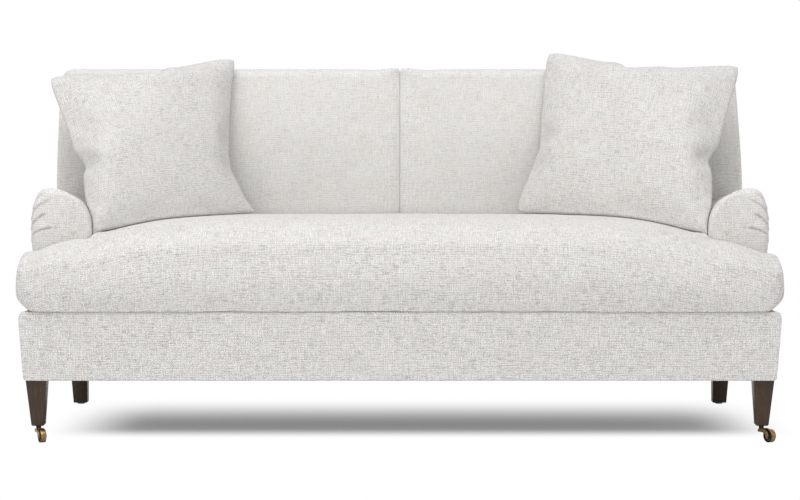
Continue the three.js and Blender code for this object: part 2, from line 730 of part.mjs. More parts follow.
// A seat spring, one zigzag of wire from the front rail to the back rail.
function seatSpring(x) {
  const front = railFront + railThick / 2;
  const rear = rearAt(railTop) - backPanelThick - railThick;
  const points = [v3(x, front, springLine)];
  for (let i = 0; i < springHalfLoops; i += 1) {
    const swing = (i % 2 === 0 ? 1 : -1) * springLoopWidth / 2;
    const y = THREE.MathUtils.lerp(front, rear, (i + 1) / (springHalfLoops + 1));
    points.push(v3(x + swing, y, springLine));
  }
  points.push(v3(x, rear, springLine));
  const path = new THREE.CatmullRomCurve3(points, false, 'catmullrom', springTension);
  const round = new THREE.Shape(Array.from({ length: wireSides }, (_, i) => {
    const angle = (i / wireSides) * 2 * Math.PI;
    return new THREE.Vector2(Math.cos(angle), Math.sin(angle)).multiplyScalar(springWire / 2);
  }));
  const steps = (springHalfLoops + 1) * stepsPerHalfLoop;
  return new THREE.ExtrudeGeometry(round, { steps, extrudePath: path, bevelEnabled: false });
}

// Side rail, from the front corner block to the leaning back one.
function rightSideRail() {
  const [x0, x1] = [railInner, frameHalf];
  const front = railFront + blockSide + fit;
  const rear = (z) => rearAt(z) - backPanelThick - blockSide - 2 * fit;
  const ring = (z) => [v3(x0, front, z), v3(x1, front, z), v3(x1, rear(z), z), v3(x0, rear(z), z)];
  return loft([ring(floorGap), ring(railTop)]);
}

// Top rail of the arm, from over the stump to the back post.
function rightArmTopRail() {
  const rear = (z) => rearAt(z) - backPanelThick - postDepth - 2 * fit;
  const ring = (z) => [
    v3(stumpInner, stumpFront, z), v3(stumpOuter, stumpFront, z),
    v3(stumpOuter, rear(z), z), v3(stumpInner, rear(z), z),
  ];
  return loft([ring(armRailBottom), ring(armRailBottom + armRailHeight)]);
}

// Deck pad, T-shaped as the seat cushion is.
function deckPad() {
  const earHalf = panelAt(deckBottom) - panelThick - fit;
  const rear = rearAt(deckTop) - padBackDepth;
  const bodyHalf = armInner - fit;
  const outline = [
    [-earHalf, railFront], [earHalf, railFront], [earHalf, armFront - fit], [bodyHalf, armFront - fit],
    [bodyHalf, rear], [-bodyHalf, rear], [-bodyHalf, armFront - fit], [-earHalf, armFront - fit],
  ];
  return plate(outline, deckBottom, deckTop);
}

// Dust cover, with its corners cut away round the legs.
function dustCover() {
  const side = frameHalf - fit;
  const legSide = legCentre - legTopSide / 2 - fit;
  const front = railFront + fit;
  const frontLegBack = frontLegY + legTopSide / 2 + fit;
  const rear = rearAt(floorGap) - backPanelThick - 2 * fit;
  const rearLegFront = rearLegY - legTopSide / 2 - fit;
  const rightHalf = [
    [legSide, front], [legSide, frontLegBack], [side, frontLegBack], [side, rearLegFront],
    [legSide, rearLegFront], [legSide, rear],
  ];
  const leftHalf = rightHalf.map(([x, y]) => [-x, y]).reverse();
  return plate([...rightHalf, ...leftHalf], floorGap - fit - dustThick, floorGap - fit);
}

const cloth = { color: 0xdcdad5, roughness: 0.95, metalness: 0 };
const lining = { color: 0x3a3836, roughness: 0.9, metalness: 0 };
const padding = { color: 0xcfcabf, roughness: 1, metalness: 0 };
const frameWood = { color: 0xc79f6c, roughness: 0.7, metalness: 0 };
const legWood = { color: 0x4b3a30, roughness: 0.45, metalness: 0 };
const steel = { color: 0x8d9196, roughness: 0.4, metalness: 1 };
const brass = { color: 0xa8854a, roughness: 0.35, metalness: 1 };

const sofa = new THREE.Group();
function add(name, geometry, finish) {
  const mesh = new THREE.Mesh(geometry, new THREE.MeshStandardMaterial(finish));
  mesh.name = name;
  sofa.add(mesh);
}
function addPair(name, rightGeometry, finish) {
  add(`${name}_left`, mirrored(rightGeometry), finish);
  add(`${name}_right`, rightGeometry, finish);
}

// Wooden frame
const blockInner = frameHalf - blockSide;
const rearDepth = backPanelThick + fit;
const frontBlock = box(blockInner, frameHalf, railFront, railFront + blockSide, floorGap, railTop);
const rearBlock = leaningBar(blockInner, frameHalf, rearDepth, rearDepth + blockSide, floorGap, railTop);
const blockHoleTop = floorGap + boltInBlock;
const blockSpan = blockInner - fit;
const railBack = railFront + railThick;
add('front_rail', box(-blockSpan, blockSpan, railFront, railBack, floorGap, railTop), frameWood);
add('back_rail', leaningBar(
  -blockSpan, blockSpan, rearDepth, rearDepth + railThick, floorGap, railTop,
), frameWood);
addPair('side_rail', rightSideRail(), frameWood);
const blockHole = (y) => boltHole(y, floorGap - overrun, blockHoleTop);
addPair('corner_block_front', cut(frontBlock, blockHole(frontLegY)), frameWood);
addPair('corner_block_rear', cut(rearBlock, blockHole(rearLegY)), frameWood);
const stretcherTop = railTop - stretcherDrop;
const stretcherRear = rearAt(floorGap) - rearDepth - railThick - fit;
add('seat_stretcher', box(
  -stretcherWidth / 2, stretcherWidth / 2, railBack + fit, stretcherRear,
  stretcherTop - stretcherDepth, stretcherTop,
), frameWood);
addPair('arm_stump', box(
  stumpInner, stumpOuter, stumpFront, stumpFront + stumpDepth, stumpFoot, armRailBottom - fit,
), frameWood);
addPair('arm_top_rail', rightArmTopRail(), frameWood);
const postFar = rearDepth + postDepth;
const postFoot = railTop + fit;
addPair('back_post', leaningBar(postInner, frameHalf, rearDepth, postFar, postFoot, frameTop), frameWood);
const railSpan = postInner - fit;
const lowerRailBottom = railTop + lowerRailLift;
const lowerRailTop = lowerRailBottom + lowerRailHeight;
const topRailBottom = frameTop - topRailHeight;
const backRail = (z0, z1) => leaningBar(-railSpan, railSpan, rearDepth, postFar, z0, z1);
add('back_lower_rail', backRail(lowerRailBottom, lowerRailTop), frameWood);
add('back_top_rail', backRail(topRailBottom, frameTop), frameWood);
add('back_post_center', leaningBar(
  -postWidth / 2, postWidth / 2, rearDepth, postFar, lowerRailTop + fit, topRailBottom - fit,
), frameWood);

// Springs and hidden layers
const springSpan = frameHalf - springEndGap;
evenly(-springSpan, springSpan, springCount - 1).forEach((x, i) => {
  add(`seat_spring_${i + 1}`, seatSpring(x), steel);
});
add('back_webbing', leaningBar(
  fit - stumpInner, stumpInner - fit, webbingDepth, webbingDepth + webbingThick, lowerRailBottom, frameTop,
), lining);
add('deck_pad', deckPad(), padding);
add('dust_cover', dustCover(), lining);

// Upholstery
add('front_border', frontBorder(), cloth);
addPair('arm', rightArm(), cloth);
addPair('outside_arm', rightOutsideArm(), cloth);
addPair('back_pad', rightBackPad(), cloth);
addPair('back_border', rightBackBorder(), cloth);
const borderTop = frameTop + topBorderHeight;
const topBorderHalf = earHalfAt(borderTop) - borderSetback - panelThick - fit;
add('back_border_top', leaningBar(
  -topBorderHalf, topBorderHalf, rearDepth, webbingDepth, frameTop + fit, borderTop,
), cloth);
add('outside_back', leaningBar(-panelFoot, panelFoot, 0, backPanelThick, floorGap, borderTop), cloth);

// Legs, bolts and glides
const frontHole = boltHole(frontLegY, floorGap - boltInLeg, floorGap + overrun);
const rearHole = boltHole(rearLegY, floorGap - boltInLeg, floorGap + overrun);
const stemHole = rod(
  stemDiameter + 2 * pinClearance, frontFootHeight - overrun, frontFootHeight + stemInLeg + fit, boltSides,
).translate(footCentre, frontLegY, 0);
const frontLeg = rightLeg(frontLegY, frontLegY, frontFootSide, frontFootHeight);
const rearFootY = rearLegY + rearLegRake;
const rearLeg = rightLeg(rearLegY, rearFootY, rearFootSide, rearFootHeight);
addPair('leg_front', cut(frontLeg, frontHole, stemHole), legWood);
addPair('leg_rear', cut(rearLeg, rearHole), legWood);
const boltLow = floorGap - boltInLeg + fit;
const boltHigh = blockHoleTop - fit;
const bolt = (y) => rod(boltDiameter, boltLow, boltHigh, boltSides).translate(legCentre, y, 0);
addPair('leg_bolt_front', bolt(frontLegY), steel);
addPair('leg_bolt_rear', bolt(rearLegY), steel);
const glide = turned([
  [0, 0], [glideRoundShare * glideDiameter / 2, 0], [glideDiameter / 2, glideThick * glideRoundShare],
  [glideDiameter / 2, glideThick], [0, glideThick],
], wheelSides).translate(footCentre, rearFootY, 0);
addPair('glide_rear', glide, steel);

// Casters
addPair('caster_stem', casterStem().translate(footCentre, frontLegY, 0), brass);
for (const [side, name, axleTurn] of [[-1, 'left', leftAxleTurn], [1, 'right', rightAxleTurn]]) {
  add(`caster_horn_${name}`, underLeg(casterHorn(), side, axleTurn), brass);
  add(`caster_wheel_${name}`, underLeg(casterWheel(), side, axleTurn), brass);
  add(`caster_axle_${name}`, underLeg(casterAxle(), side, axleTurn), brass);
}

// Loose pieces
add('seat_cushion', seatCushion(), cloth);
add('throw_pillow_left', pillow(-1, leftPillowShares), cloth);
add('throw_pillow_right', pillow(1, rightPillowShares), cloth);

const bounds = new THREE.Box3().setFromObject(sofa);
sofa.position.y = -(bounds.min.y + bounds.max.y) / 2;

export default sofa;
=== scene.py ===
import math

import bmesh
import bpy
import numpy as np
from mathutils import Matrix, Vector, noise
from mathutils.bvhtree import BVHTree


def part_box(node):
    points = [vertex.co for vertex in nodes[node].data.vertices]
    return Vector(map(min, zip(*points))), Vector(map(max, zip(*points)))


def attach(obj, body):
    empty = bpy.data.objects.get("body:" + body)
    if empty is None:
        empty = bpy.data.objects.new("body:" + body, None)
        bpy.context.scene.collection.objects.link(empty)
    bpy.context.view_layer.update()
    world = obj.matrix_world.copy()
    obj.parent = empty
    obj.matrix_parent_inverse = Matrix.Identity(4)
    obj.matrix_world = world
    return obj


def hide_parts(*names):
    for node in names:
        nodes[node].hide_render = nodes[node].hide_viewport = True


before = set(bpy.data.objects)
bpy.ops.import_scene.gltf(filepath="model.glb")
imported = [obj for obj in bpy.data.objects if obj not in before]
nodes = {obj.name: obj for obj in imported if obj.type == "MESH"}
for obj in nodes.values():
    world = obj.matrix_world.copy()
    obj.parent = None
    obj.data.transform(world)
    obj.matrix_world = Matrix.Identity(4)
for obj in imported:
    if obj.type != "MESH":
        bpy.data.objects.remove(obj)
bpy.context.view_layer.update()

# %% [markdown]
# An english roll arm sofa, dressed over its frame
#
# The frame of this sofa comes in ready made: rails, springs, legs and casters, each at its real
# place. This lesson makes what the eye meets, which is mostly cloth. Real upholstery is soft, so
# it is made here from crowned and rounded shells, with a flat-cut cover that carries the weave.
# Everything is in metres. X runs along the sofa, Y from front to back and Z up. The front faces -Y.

mm = 0.001

# %% [markdown]
# Camera
#
# The sofa was photographed straight from the front with a long lens, from a little over five
# metres away and from seat height, tipped down by three degrees. A long lens keeps the arms from
# spreading, so the same lens and distance are set here.

# %% Camera at the photograph's place
camera_distance = 5.880
camera_height = 0.781
camera_tip = math.radians(3.231)
lens = 100.8
lens_data = bpy.data.cameras.new("camera")
lens_data.lens = lens
lens_data.sensor_width = 36
camera = bpy.data.objects.new("camera", lens_data)
camera.location = (0, -camera_distance, camera_height)
camera.rotation_euler = (math.pi / 2 - camera_tip, 0, 0)
bpy.context.collection.objects.link(camera)
bpy.context.scene.camera = camera
bpy.context.scene.view_settings.view_transform = "Standard"
print("camera at", tuple(camera.location))

# %% [markdown]
# Writing a finish
#
# A finish is a small sum: threads plus slubs minus shadow. Nodes can hold such sums, but wiring
# them by hand hides the idea. A socket is wrapped here so that it can be added and multiplied
# like a number, and one method makes every other node.

# %% A socket that takes part in sums
class Signal:
    def __init__(self, finish, socket):
        self.finish = finish
        self.socket = socket

    def maths(self, operation, first, second=0.0):
        return self.finish.node("ShaderNodeMath", {"operation": operation}, {0: first, 1: second})

    def __add__(self, other):
        return self.maths("ADD", self, other)

    def __radd__(self, other):
        return self.maths("ADD", other, self)

    def __sub__(self, other):
        return self.maths("SUBTRACT", self, other)

    def __rsub__(self, other):
        return self.maths("SUBTRACT", other, self)

    def __mul__(self, other):
        return self.maths("MULTIPLY", self, other)

    def __rmul__(self, other):
        return self.maths("MULTIPLY", other, self)

    def __truediv__(self, other):
        return self.maths("DIVIDE", self, other)

    def __pow__(self, other):
        return self.maths("POWER", self, other)

    def sine(self):
        return self.maths("SINE", self)


# %% A finish and its one way to make a node
class Finish:
    def __init__(self, name, **constants):
        self.material = bpy.data.materials.new(name)
        self.material.use_nodes = True
        self.tree = self.material.node_tree
        self.shader = self.tree.nodes["Principled BSDF"]
        for socket, value in constants.items():
            self.shader.inputs[socket.replace("_", " ")].default_value = value

    def node(self, kind, settings=None, sockets=None, out=0):
        made = self.tree.nodes.new(kind)
        for name, value in (settings or {}).items():
            if name == "stops":
                made.color_ramp.elements[0].position, made.color_ramp.elements[0].color = value[0]
                made.color_ramp.elements[1].position, made.color_ramp.elements[1].color = value[-1]
                for place, colour in value[1:-1]:
                    made.color_ramp.elements.new(place).color = colour
            else:
                setattr(made, name, value)
        for key, value in (sockets or {}).items():
            if isinstance(value, Signal):
                self.tree.links.new(value.socket, made.inputs[key])
            else:
                made.inputs[key].default_value = value
        return Signal(self, made.outputs[out])

    def feed(self, socket, signal):
        self.tree.links.new(signal.socket, self.shader.inputs[socket])

    # Noise on the place, with a size in metres along each axis
    def cloud(self, place, size, detail=2.0, shift=(0, 0, 0)):
        scale = tuple(1 / s for s in size)
        moved = self.node("ShaderNodeMapping", {}, {"Vector": place, "Scale": scale, "Location": shift})
        return self.node("ShaderNodeTexNoise", {}, {"Vector": moved, "Scale": 1.0, "Detail": detail})

    # A number from 0 to 1 as the signal goes from low to high
    def between(self, signal, low, high):
        sockets = {"Value": signal, "From Min": low, "From Max": high}
        return self.node("ShaderNodeMapRange", {"clamp": True}, sockets)

    def blend(self, share, first, second):
        settings = {"data_type": "RGBA"}
        return self.node("ShaderNodeMix", settings, {0: share, 6: first, 7: second}, out=2)


print("finishes can be written")

# %% [markdown]
# The cover cloth
#
# The cloth is an ivory linen weave with thick and thin yarns. Three things make it: the grid of
# the yarns, long slubs where a yarn swells along the weft or the warp, and short dark flecks.
# Soft patches of warm and cool yarn lie under them. The grid and the slubs are partly the yarns'
# own colour and partly painted shade: where the weave lies low, in the gaps between the yarns and
# along the thin yarns, the colour is blended towards a shade colour. The weave follows the piece's
# own flat-cut UV map, which is in metres, so a yarn keeps its real width on every piece. Light that
# grazes the front shows the weave more than light that falls full on the arms, the back and the
# pillows, so the same cloth is written four times, each with its own contrast of painted shade.
# Each copy also has its own tone, which is painted light on the arms and painted shade on the back
# and the pillows.

# %% Ivory slub linen
yarn_pitch = 0.0056


def slub_linen(name, contrast=1.0, tone_and_painted_light=1.0):
    cloth = Finish(name, Roughness=0.92, Sheen_Weight=0.10, Sheen_Roughness=0.6)
    place = cloth.node("ShaderNodeTexCoord", {}, {}, out=2)
    sway = cloth.cloud(place, (0.060, 0.060, 1), 1, (5, 5, 9)) * 0.006
    across = cloth.node("ShaderNodeSeparateXYZ", {}, {"Vector": place})
    along = Signal(cloth, across.socket.node.outputs[1])
    turns = 2 * math.pi / yarn_pitch
    warp_crest = ((across + sway) * turns).sine() * 0.5 + 0.5
    weft_crest = ((along + sway) * turns).sine() * 0.5 + 0.5
    gap = (1 - warp_crest) * (1 - weft_crest)
    weft = cloth.cloud(place, (0.0300, 0.0028, 1), 0, (3, 7, 1))
    warp = cloth.cloud(place, (0.0028, 0.0300, 1), 0, (11, 5, 2))
    grain = cloth.cloud(place, (0.0025, 0.0023, 1), 0, (2, 9, 3))
    dashes = cloth.between(cloth.cloud(place, (0.0230, 0.0031, 1), 0, (23, 4, 4)), 0.58, 0.67)
    posts = cloth.between(cloth.cloud(place, (0.0030, 0.0110, 1), 0, (31, 2, 5)), 0.61, 0.71)
    specks = cloth.between(cloth.cloud(place, (0.0036, 0.0028, 1), 0, (9, 14, 8)), 0.60, 0.66)
    worked = cloth.between(cloth.cloud(place, (0.110, 0.060, 1), 1, (13, 9, 6)), 0.40, 0.62)
    patch = cloth.between(cloth.cloud(place, (0.0900, 0.0600, 1), 1, (6, 6, 6)), 0.36, 0.64)
    cool = cloth.between(cloth.cloud(place, (0.0600, 0.0900, 1), 1, (17, 2, 7)), 0.42, 0.70)
    level = 0.08 * weft + 0.68 * warp + 1.14 * grain - 0.50 * gap
    light = cloth.between(level, 0.42, 1.16)
    # Tone scales every colour: it is the cloth's own lightness, and between the four copies it is painted light on the
    # arms and painted shade on the back and the pillows.
    ivory = (0.830 * tone_and_painted_light, 0.821 * tone_and_painted_light, 0.798 * tone_and_painted_light, 1)
    rose = (0.824 * tone_and_painted_light, 0.782 * tone_and_painted_light, 0.757 * tone_and_painted_light, 1)
    sage = (0.780 * tone_and_painted_light, 0.795 * tone_and_painted_light, 0.772 * tone_and_painted_light, 1)
    shade = (0.50 * tone_and_painted_light, 0.49 * tone_and_painted_light, 0.474 * tone_and_painted_light, 1)
    taupe = (0.290 * tone_and_painted_light, 0.272 * tone_and_painted_light, 0.252 * tone_and_painted_light, 1)
    base = cloth.blend(patch, rose, ivory)
    base = cloth.blend(cool * 0.6, base, sage)
    # Painted shade: the colour is blended towards the shade colour where the weave lies low, and a copy with less
    # contrast gets an even share of that shade instead.
    even_shade = 0.42 * (1 - contrast)
    base = cloth.blend((1 - light) * contrast + even_shade, base, shade)
    dots = ((dashes + 0.6 * posts) * warp_crest + 0.55 * specks) * (0.68 + 0.30 * worked)
    base = cloth.blend(cloth.between(dots, 0, 1.0) * 0.76 * contrast, base, taupe)
    cloth.feed("Base Color", base)
    settings = {"Strength": 0.5 * contrast, "Distance": 0.0020, "Height": level}
    cloth.feed("Normal", cloth.node("ShaderNodeBump", {}, settings))
    return cloth.material


# The same cloth four times: the arms a little lighter as painted light, the back and the pillows darker as painted
# shade.
cover_cloth = slub_linen("ivory_slub_linen", tone_and_painted_light=0.955)
arm_cloth = slub_linen("ivory_slub_linen_arm_painted_light", contrast=0.70, tone_and_painted_light=0.98)
back_cloth = slub_linen("ivory_slub_linen_back_painted_shade", contrast=0.54, tone_and_painted_light=0.91)
pillow_cloth = slub_linen("ivory_slub_linen_pillow_painted_shade", contrast=0.86, tone_and_painted_light=0.883)
print("made", cover_cloth.name, arm_cloth.name, back_cloth.name, pillow_cloth.name)

# %% [markdown]
# The hidden cloths
#
# Under the seat cushion lies a plain deck cloth, and a black dust cover closes the sofa below.

# %% Deck cloth and black lining
def plain_weave(name, light, dark, yarn):
    cloth = Finish(name, Roughness=0.95)
    place = cloth.node("ShaderNodeTexCoord", {}, {}, out=3)
    along = cloth.cloud(place, (yarn * 8, yarn, yarn), 2)
    across = cloth.cloud(place, (yarn, yarn * 8, yarn * 8), 2, (5, 3, 1))
    share = cloth.between(along + across, 0.75, 1.25)
    cloth.feed("Base Color", cloth.blend(share, dark, light))
    bump = cloth.node("ShaderNodeBump", {}, {"Strength": 0.3, "Distance": yarn / 4, "Height": along + across})
    cloth.feed("Normal", bump)
    return cloth.material


deck_cloth = plain_weave("deck_cloth", (0.72, 0.69, 0.62, 1), (0.55, 0.52, 0.46, 1), 0.0012)
lining_cloth = plain_weave("black_lining", (0.045, 0.045, 0.047, 1), (0.018, 0.018, 0.02, 1), 0.0016)
print("made", deck_cloth.name, "and", lining_cloth.name)

# %% [markdown]
# Wood
#
# The legs are stained dark and varnished, with a fine grain that runs down them. The frame is
# bare hardwood. Both are the same finish with other colours: noise that is drawn out along the
# grain, and fine pores.

# %% Stained legs and bare frame wood
def grained_wood(name, light, dark, pore, along, varnish, roughness):
    wood = Finish(name, Roughness=roughness, Coat_Weight=varnish, Coat_Roughness=0.18, Specular_IOR_Level=0.21)
    place = wood.node("ShaderNodeTexCoord", {}, {}, out=3)
    stretch = [0.0042, 0.0042, 0.0042]
    stretch[along] = 0.09
    fibre = [0.0009, 0.0009, 0.0009]
    fibre[along] = 0.022
    figure = wood.cloud(place, stretch, 4)
    pores = wood.cloud(place, fibre, 2, (4, 2, 9))
    share = wood.between(figure, 0.34, 0.66)
    pitted = wood.between(pores, 0.60, 0.74)
    base = wood.blend(share, dark, light)
    wood.feed("Base Color", wood.blend(pitted * 0.7, base, pore))
    wood.feed("Roughness", roughness + 0.14 * pitted - 0.06 * share)
    bump = wood.node("ShaderNodeBump", {"invert": True}, {"Strength": 0.25, "Distance": 0.0004, "Height": pitted})
    wood.feed("Normal", bump)
    return wood.material


espresso = grained_wood(
    "espresso_leg_wood", (0.062, 0.040, 0.027, 1), (0.044, 0.028, 0.018, 1), (0.022, 0.014, 0.009, 1), 2, 0.0, 0.28,
)
bare = (0.56, 0.39, 0.23, 1), (0.40, 0.25, 0.13, 1), (0.25, 0.15, 0.08, 1)
bare_wood = {
    axis: grained_wood(f"frame_wood_{axis}", *bare, "xyz".index(axis), 0.0, 0.65) for axis in "xyz"
}
print("made", espresso.name, "and", len(bare_wood), "ways of bare wood")

# %% [markdown]
# Metal
#
# The casters are brass that has been browned, and worn bright in soft patches. The wheel is
# bright brass on its tread and dark brass on its sides and hub. So brass comes in a bright and a
# browned finish. The springs, bolts and glides are zinc-plated steel. One recipe makes all three:
# two tones, mixed by a soft stain.

# %% Antique brass and plated steel
def worn_metal(name, bright, dark, patches, roughness):
    metal = Finish(name, Metallic=1.0, Roughness=roughness)
    place = metal.node("ShaderNodeTexCoord", {}, {}, out=3)
    stain = metal.cloud(place, (patches, patches, patches), 4)
    speck = metal.cloud(place, (patches / 6, patches / 6, patches / 6), 2, (3, 1, 8))
    worn = metal.between(stain + 0.35 * speck, 0.52, 0.84)
    metal.feed("Base Color", metal.blend(worn, dark, bright))
    metal.feed("Roughness", roughness + 0.20 - 0.22 * worn)
    bump = metal.node("ShaderNodeBump", {}, {"Strength": 0.12, "Distance": 0.0003, "Height": speck})
    metal.feed("Normal", bump)
    return metal.material


antique_brass = worn_metal("antique_brass", (0.345, 0.232, 0.112, 1), (0.17, 0.112, 0.058, 1), 0.006, 0.26)
dark_brass = worn_metal("browned_brass", (0.085, 0.062, 0.042, 1), (0.030, 0.024, 0.019, 1), 0.005, 0.36)
zinc_steel = worn_metal("zinc_plated_steel", (0.62, 0.63, 0.65, 1), (0.38, 0.38, 0.40, 1), 0.009, 0.32)
print("made", antique_brass.name, dark_brass.name, zinc_steel.name)

# %% [markdown]
# A padded block
#
# A cushion cover is cut flat: two faces and a boxing between them. The same pattern is followed
# here. A grid of cells gives the outline, which may be T- or L-shaped. It is laid out as a crowned
# face and a back, and rings of points round the edge make the boxing. Each corner gets a fan of
# directions, so that it is round. The UV map keeps the flat cut, in metres.

# %% Walk round the outline of a grid of cells
def outline_of(across, along, has_cell):
    nexts = {}
    for i in range(across - 1):
        for j in range(along - 1):
            if not has_cell(i, j):
                continue
            ring = [(i, j), (i + 1, j), (i + 1, j + 1), (i, j + 1)]
            neighbours = [(i, j - 1), (i + 1, j), (i, j + 1), (i - 1, j)]
            for k, (ni, nj) in enumerate(neighbours):
                outside = not (0 <= ni < across - 1 and 0 <= nj < along - 1) or not has_cell(ni, nj)
                if outside:
                    nexts[ring[k]] = ring[(k + 1) % 4]
    start = min(nexts)
    loop, here = [start], nexts[start]
    while here != start:
        loop.append(here)
        here = nexts[here]
    return loop


def ways_out(loop, fan=6):
    """The loop's points, each with the direction its edge swells in."""
    found = []
    for k, here in enumerate(loop):
        before, after = Vector(loop[k - 1]), Vector(loop[(k + 1) % len(loop)])
        first = (Vector(here) - before).normalized()
        second = (after - Vector(here)).normalized()
        out_first, out_second = Vector((first.y, -first.x)), Vector((second.y, -second.x))
        turn = first.x * second.y - first.y * second.x
        if turn > 0.5:
            for step in range(fan + 1):
                angle = math.pi / 2 * step / fan
                found.append((here, out_first * math.cos(angle) + out_second * math.sin(angle)))
        elif turn < -0.5:
            found.append((here, out_first + out_second))
        else:
            found.append((here, out_second))
    return found


def fanned(loop, columns, rows, reach=60 * mm):
    """Beside an inner corner the ways out turn towards it, so that the two edges don't cross."""
    corners = [(columns[i], rows[j], way) for (i, j), way in loop if way.length > 1.2]
    turned_ways = []
    for (i, j), way in loop:
        way = way.copy()
        for u, v, both in corners:
            off = max(abs(columns[i] - u), abs(rows[j] - v))
            in_line = columns[i] == u or rows[j] == v
            if in_line and 0 < off < reach and way.length < 1.2 and way.dot(both) > 0.5:
                lean = both * (1 - off / reach)
                way += Vector((0, lean.y)) if abs(way.x) > abs(way.y) else Vector((lean.x, 0))
        turned_ways.append(((i, j), way))
    return turned_ways


print("outline tools ready")

# %% The side of a cushion from its face to its back
def boxing(edge, face_round, back_round, bulge=0.0, steps=7, middle=8, full=1.0):
    """The face's rounding, the bulge and the fullness may be numbers or functions of the place."""
    def profile(face, back, u, v):
        depth = face - back
        wanted = face_round(u, v) if callable(face_round) else face_round
        swell = bulge(u, v) if callable(bulge) else bulge
        power = full(u, v) if callable(full) else full
        round_face, round_back = min(wanted, 0.49 * depth), min(back_round, 0.49 * depth)
        places = []
        for k in range(1, steps + 1):
            angle = math.pi / 2 * k / steps
            places.append((edge * math.sin(angle) ** power, face - round_face * (1 - math.cos(angle))))
        top, low = face - round_face, back + round_back
        for k in range(1, middle):
            share = k / middle
            places.append((edge + swell * math.sin(math.pi * share), top + (low - top) * share))
        for k in range(steps):
            angle = math.pi / 2 * (1 - k / steps)
            places.append((edge - back_round * (1 - math.sin(angle)), low - round_back * math.cos(angle)))
        return places
    return profile


# %% Build the block with its flat-cut cover
def padded_block(name, columns, rows, has_cell, face, back, place, profile, draw=None, uv_start=(0, 0)):
    loop = fanned(ways_out(outline_of(len(columns), len(rows), has_cell)), columns, rows)
    points, number, faces, covers = [], {}, [], []

    def point(key, u, v, depth):
        number[key] = len(points)
        points.append(place(u, v, depth))

    cells = [(i, j) for i in range(len(columns) - 1) for j in range(len(rows) - 1) if has_cell(i, j)]
    used = sorted({(i + a, j + b) for i, j in cells for a in (0, 1) for b in (0, 1)})
    for i, j in used:
        u, v = columns[i], rows[j]
        point(("face", i, j), u, v, face(u, v))
        point(("back", i, j), u, v, back(u, v))
    for i, j in cells:
        ring = [(i, j), (i + 1, j), (i + 1, j + 1), (i, j + 1)]
        faces.append([number[("face", *c)] for c in ring])
        faces.append([number[("back", *c)] for c in reversed(ring)])
        flat = [(columns[a] + uv_start[0], rows[b] + uv_start[1]) for a, b in ring]
        covers.append(flat)
        covers.append([(a, b + 1.3) for a, b in reversed(flat)])

    rings = []
    for (i, j), way in loop:
        u, v = columns[i], rows[j]
        side = [(("face", i, j), (u, v), 0.0)]
        last, run = (0.0, face(u, v)), 0.0
        for k, (out, depth) in enumerate(profile(face(u, v), back(u, v), u, v)):
            reach = out + (draw(u, v) * min(1.0, out / (0.004 + abs(out))) if draw else 0.0)
            run += math.hypot(out - last[0], depth - last[1])
            last = (out, depth)
            key = ("side", len(rings), k)
            pu, pv = u + way.x * reach, v + way.y * reach
            point(key, pu, pv, depth)
            side.append((key, (pu, pv), run))
        side.append((("back", i, j), (u, v), run + abs(last[0])))
        rings.append((side, way))

    for k, (side, way) in enumerate(rings):
        after, after_way = rings[(k + 1) % len(rings)]
        mean = way + after_way
        upright = abs(mean.y) >= abs(mean.x)
        sign = math.copysign(1, mean.y if upright else mean.x)

        def cut(entry):
            (pu, pv), run = entry[1], entry[2]
            start = side[0][1]
            if upright:
                return (pu + uv_start[0], start[1] + sign * run + uv_start[1])
            return (start[0] + sign * run + uv_start[0], pv + uv_start[1])

        for a in range(len(side) - 1):
            ring = [side[a], side[a + 1], after[a + 1], after[a]]
            corners, flat = [], []
            for entry in ring:
                index = number[entry[0]]
                if index not in corners:
                    corners.append(index)
                    flat.append(cut(entry))
            if len(corners) > 2:
                faces.append(corners)
                covers.append(flat)
    return mesh_piece(name, points, faces, covers)


def mesh_piece(name, points, faces, covers=None):
    mesh = bpy.data.meshes.new(name)
    mesh.from_pydata([tuple(p) for p in points], [], faces)
    if covers:
        layer = mesh.uv_layers.new(name="flat_cut")
        flat = [c for cover in covers for corner in cover for c in corner]
        layer.data.foreach_set("uv", flat)
    mesh.validate()
    shell = bmesh.new()
    shell.from_mesh(mesh)
    if shell.calc_volume(signed=True) < 0:
        bmesh.ops.reverse_faces(shell, faces=shell.faces)
    shell.to_mesh(mesh)
    shell.free()
    piece = bpy.data.objects.new(name, mesh)
    bpy.context.collection.objects.link(piece)
    for polygon in mesh.polygons:
        polygon.use_smooth = True
    return piece


def even(start, end, step):
    count = max(1, round(abs(end - start) / step))
    return [start + (end - start) * k / count for k in range(count + 1)]


def apply(piece, kind, name="step", **settings):
    modifier = piece.modifiers.new(name, kind)
    for key, value in settings.items():
        setattr(modifier, key, value)
    alone(piece)
    bpy.ops.object.modifier_apply(modifier=name)


def alone(piece):
    bpy.ops.object.select_all(action="DESELECT")
    piece.select_set(True)
    bpy.context.view_layer.objects.active = piece


def ripple(place, size, height, seed=0.0):
    """Soft unevenness of stuffed cloth at a place, in metres."""
    return height * noise.noise(Vector(place) / size + Vector((seed, seed * 1.7, seed * 0.3)))


def dress(piece, finish, body, slot, *stands_for, fill=None):
    piece.data.materials.clear()
    piece.data.materials.append(finish)
    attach(piece, body)
    if stands_for:
        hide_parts(*stands_for)
    print(piece.name, len(piece.data.polygons), "faces for", ", ".join(stands_for))


# %% [markdown]
# Sizes shared with the frame
#
# The cloth pieces have to meet the frame's parts, so the sizes that both need are written here
# once, in the frame's own terms. The frame is centred front to back, which is where front_shift
# comes from: the seat cushion's front is at -Y.

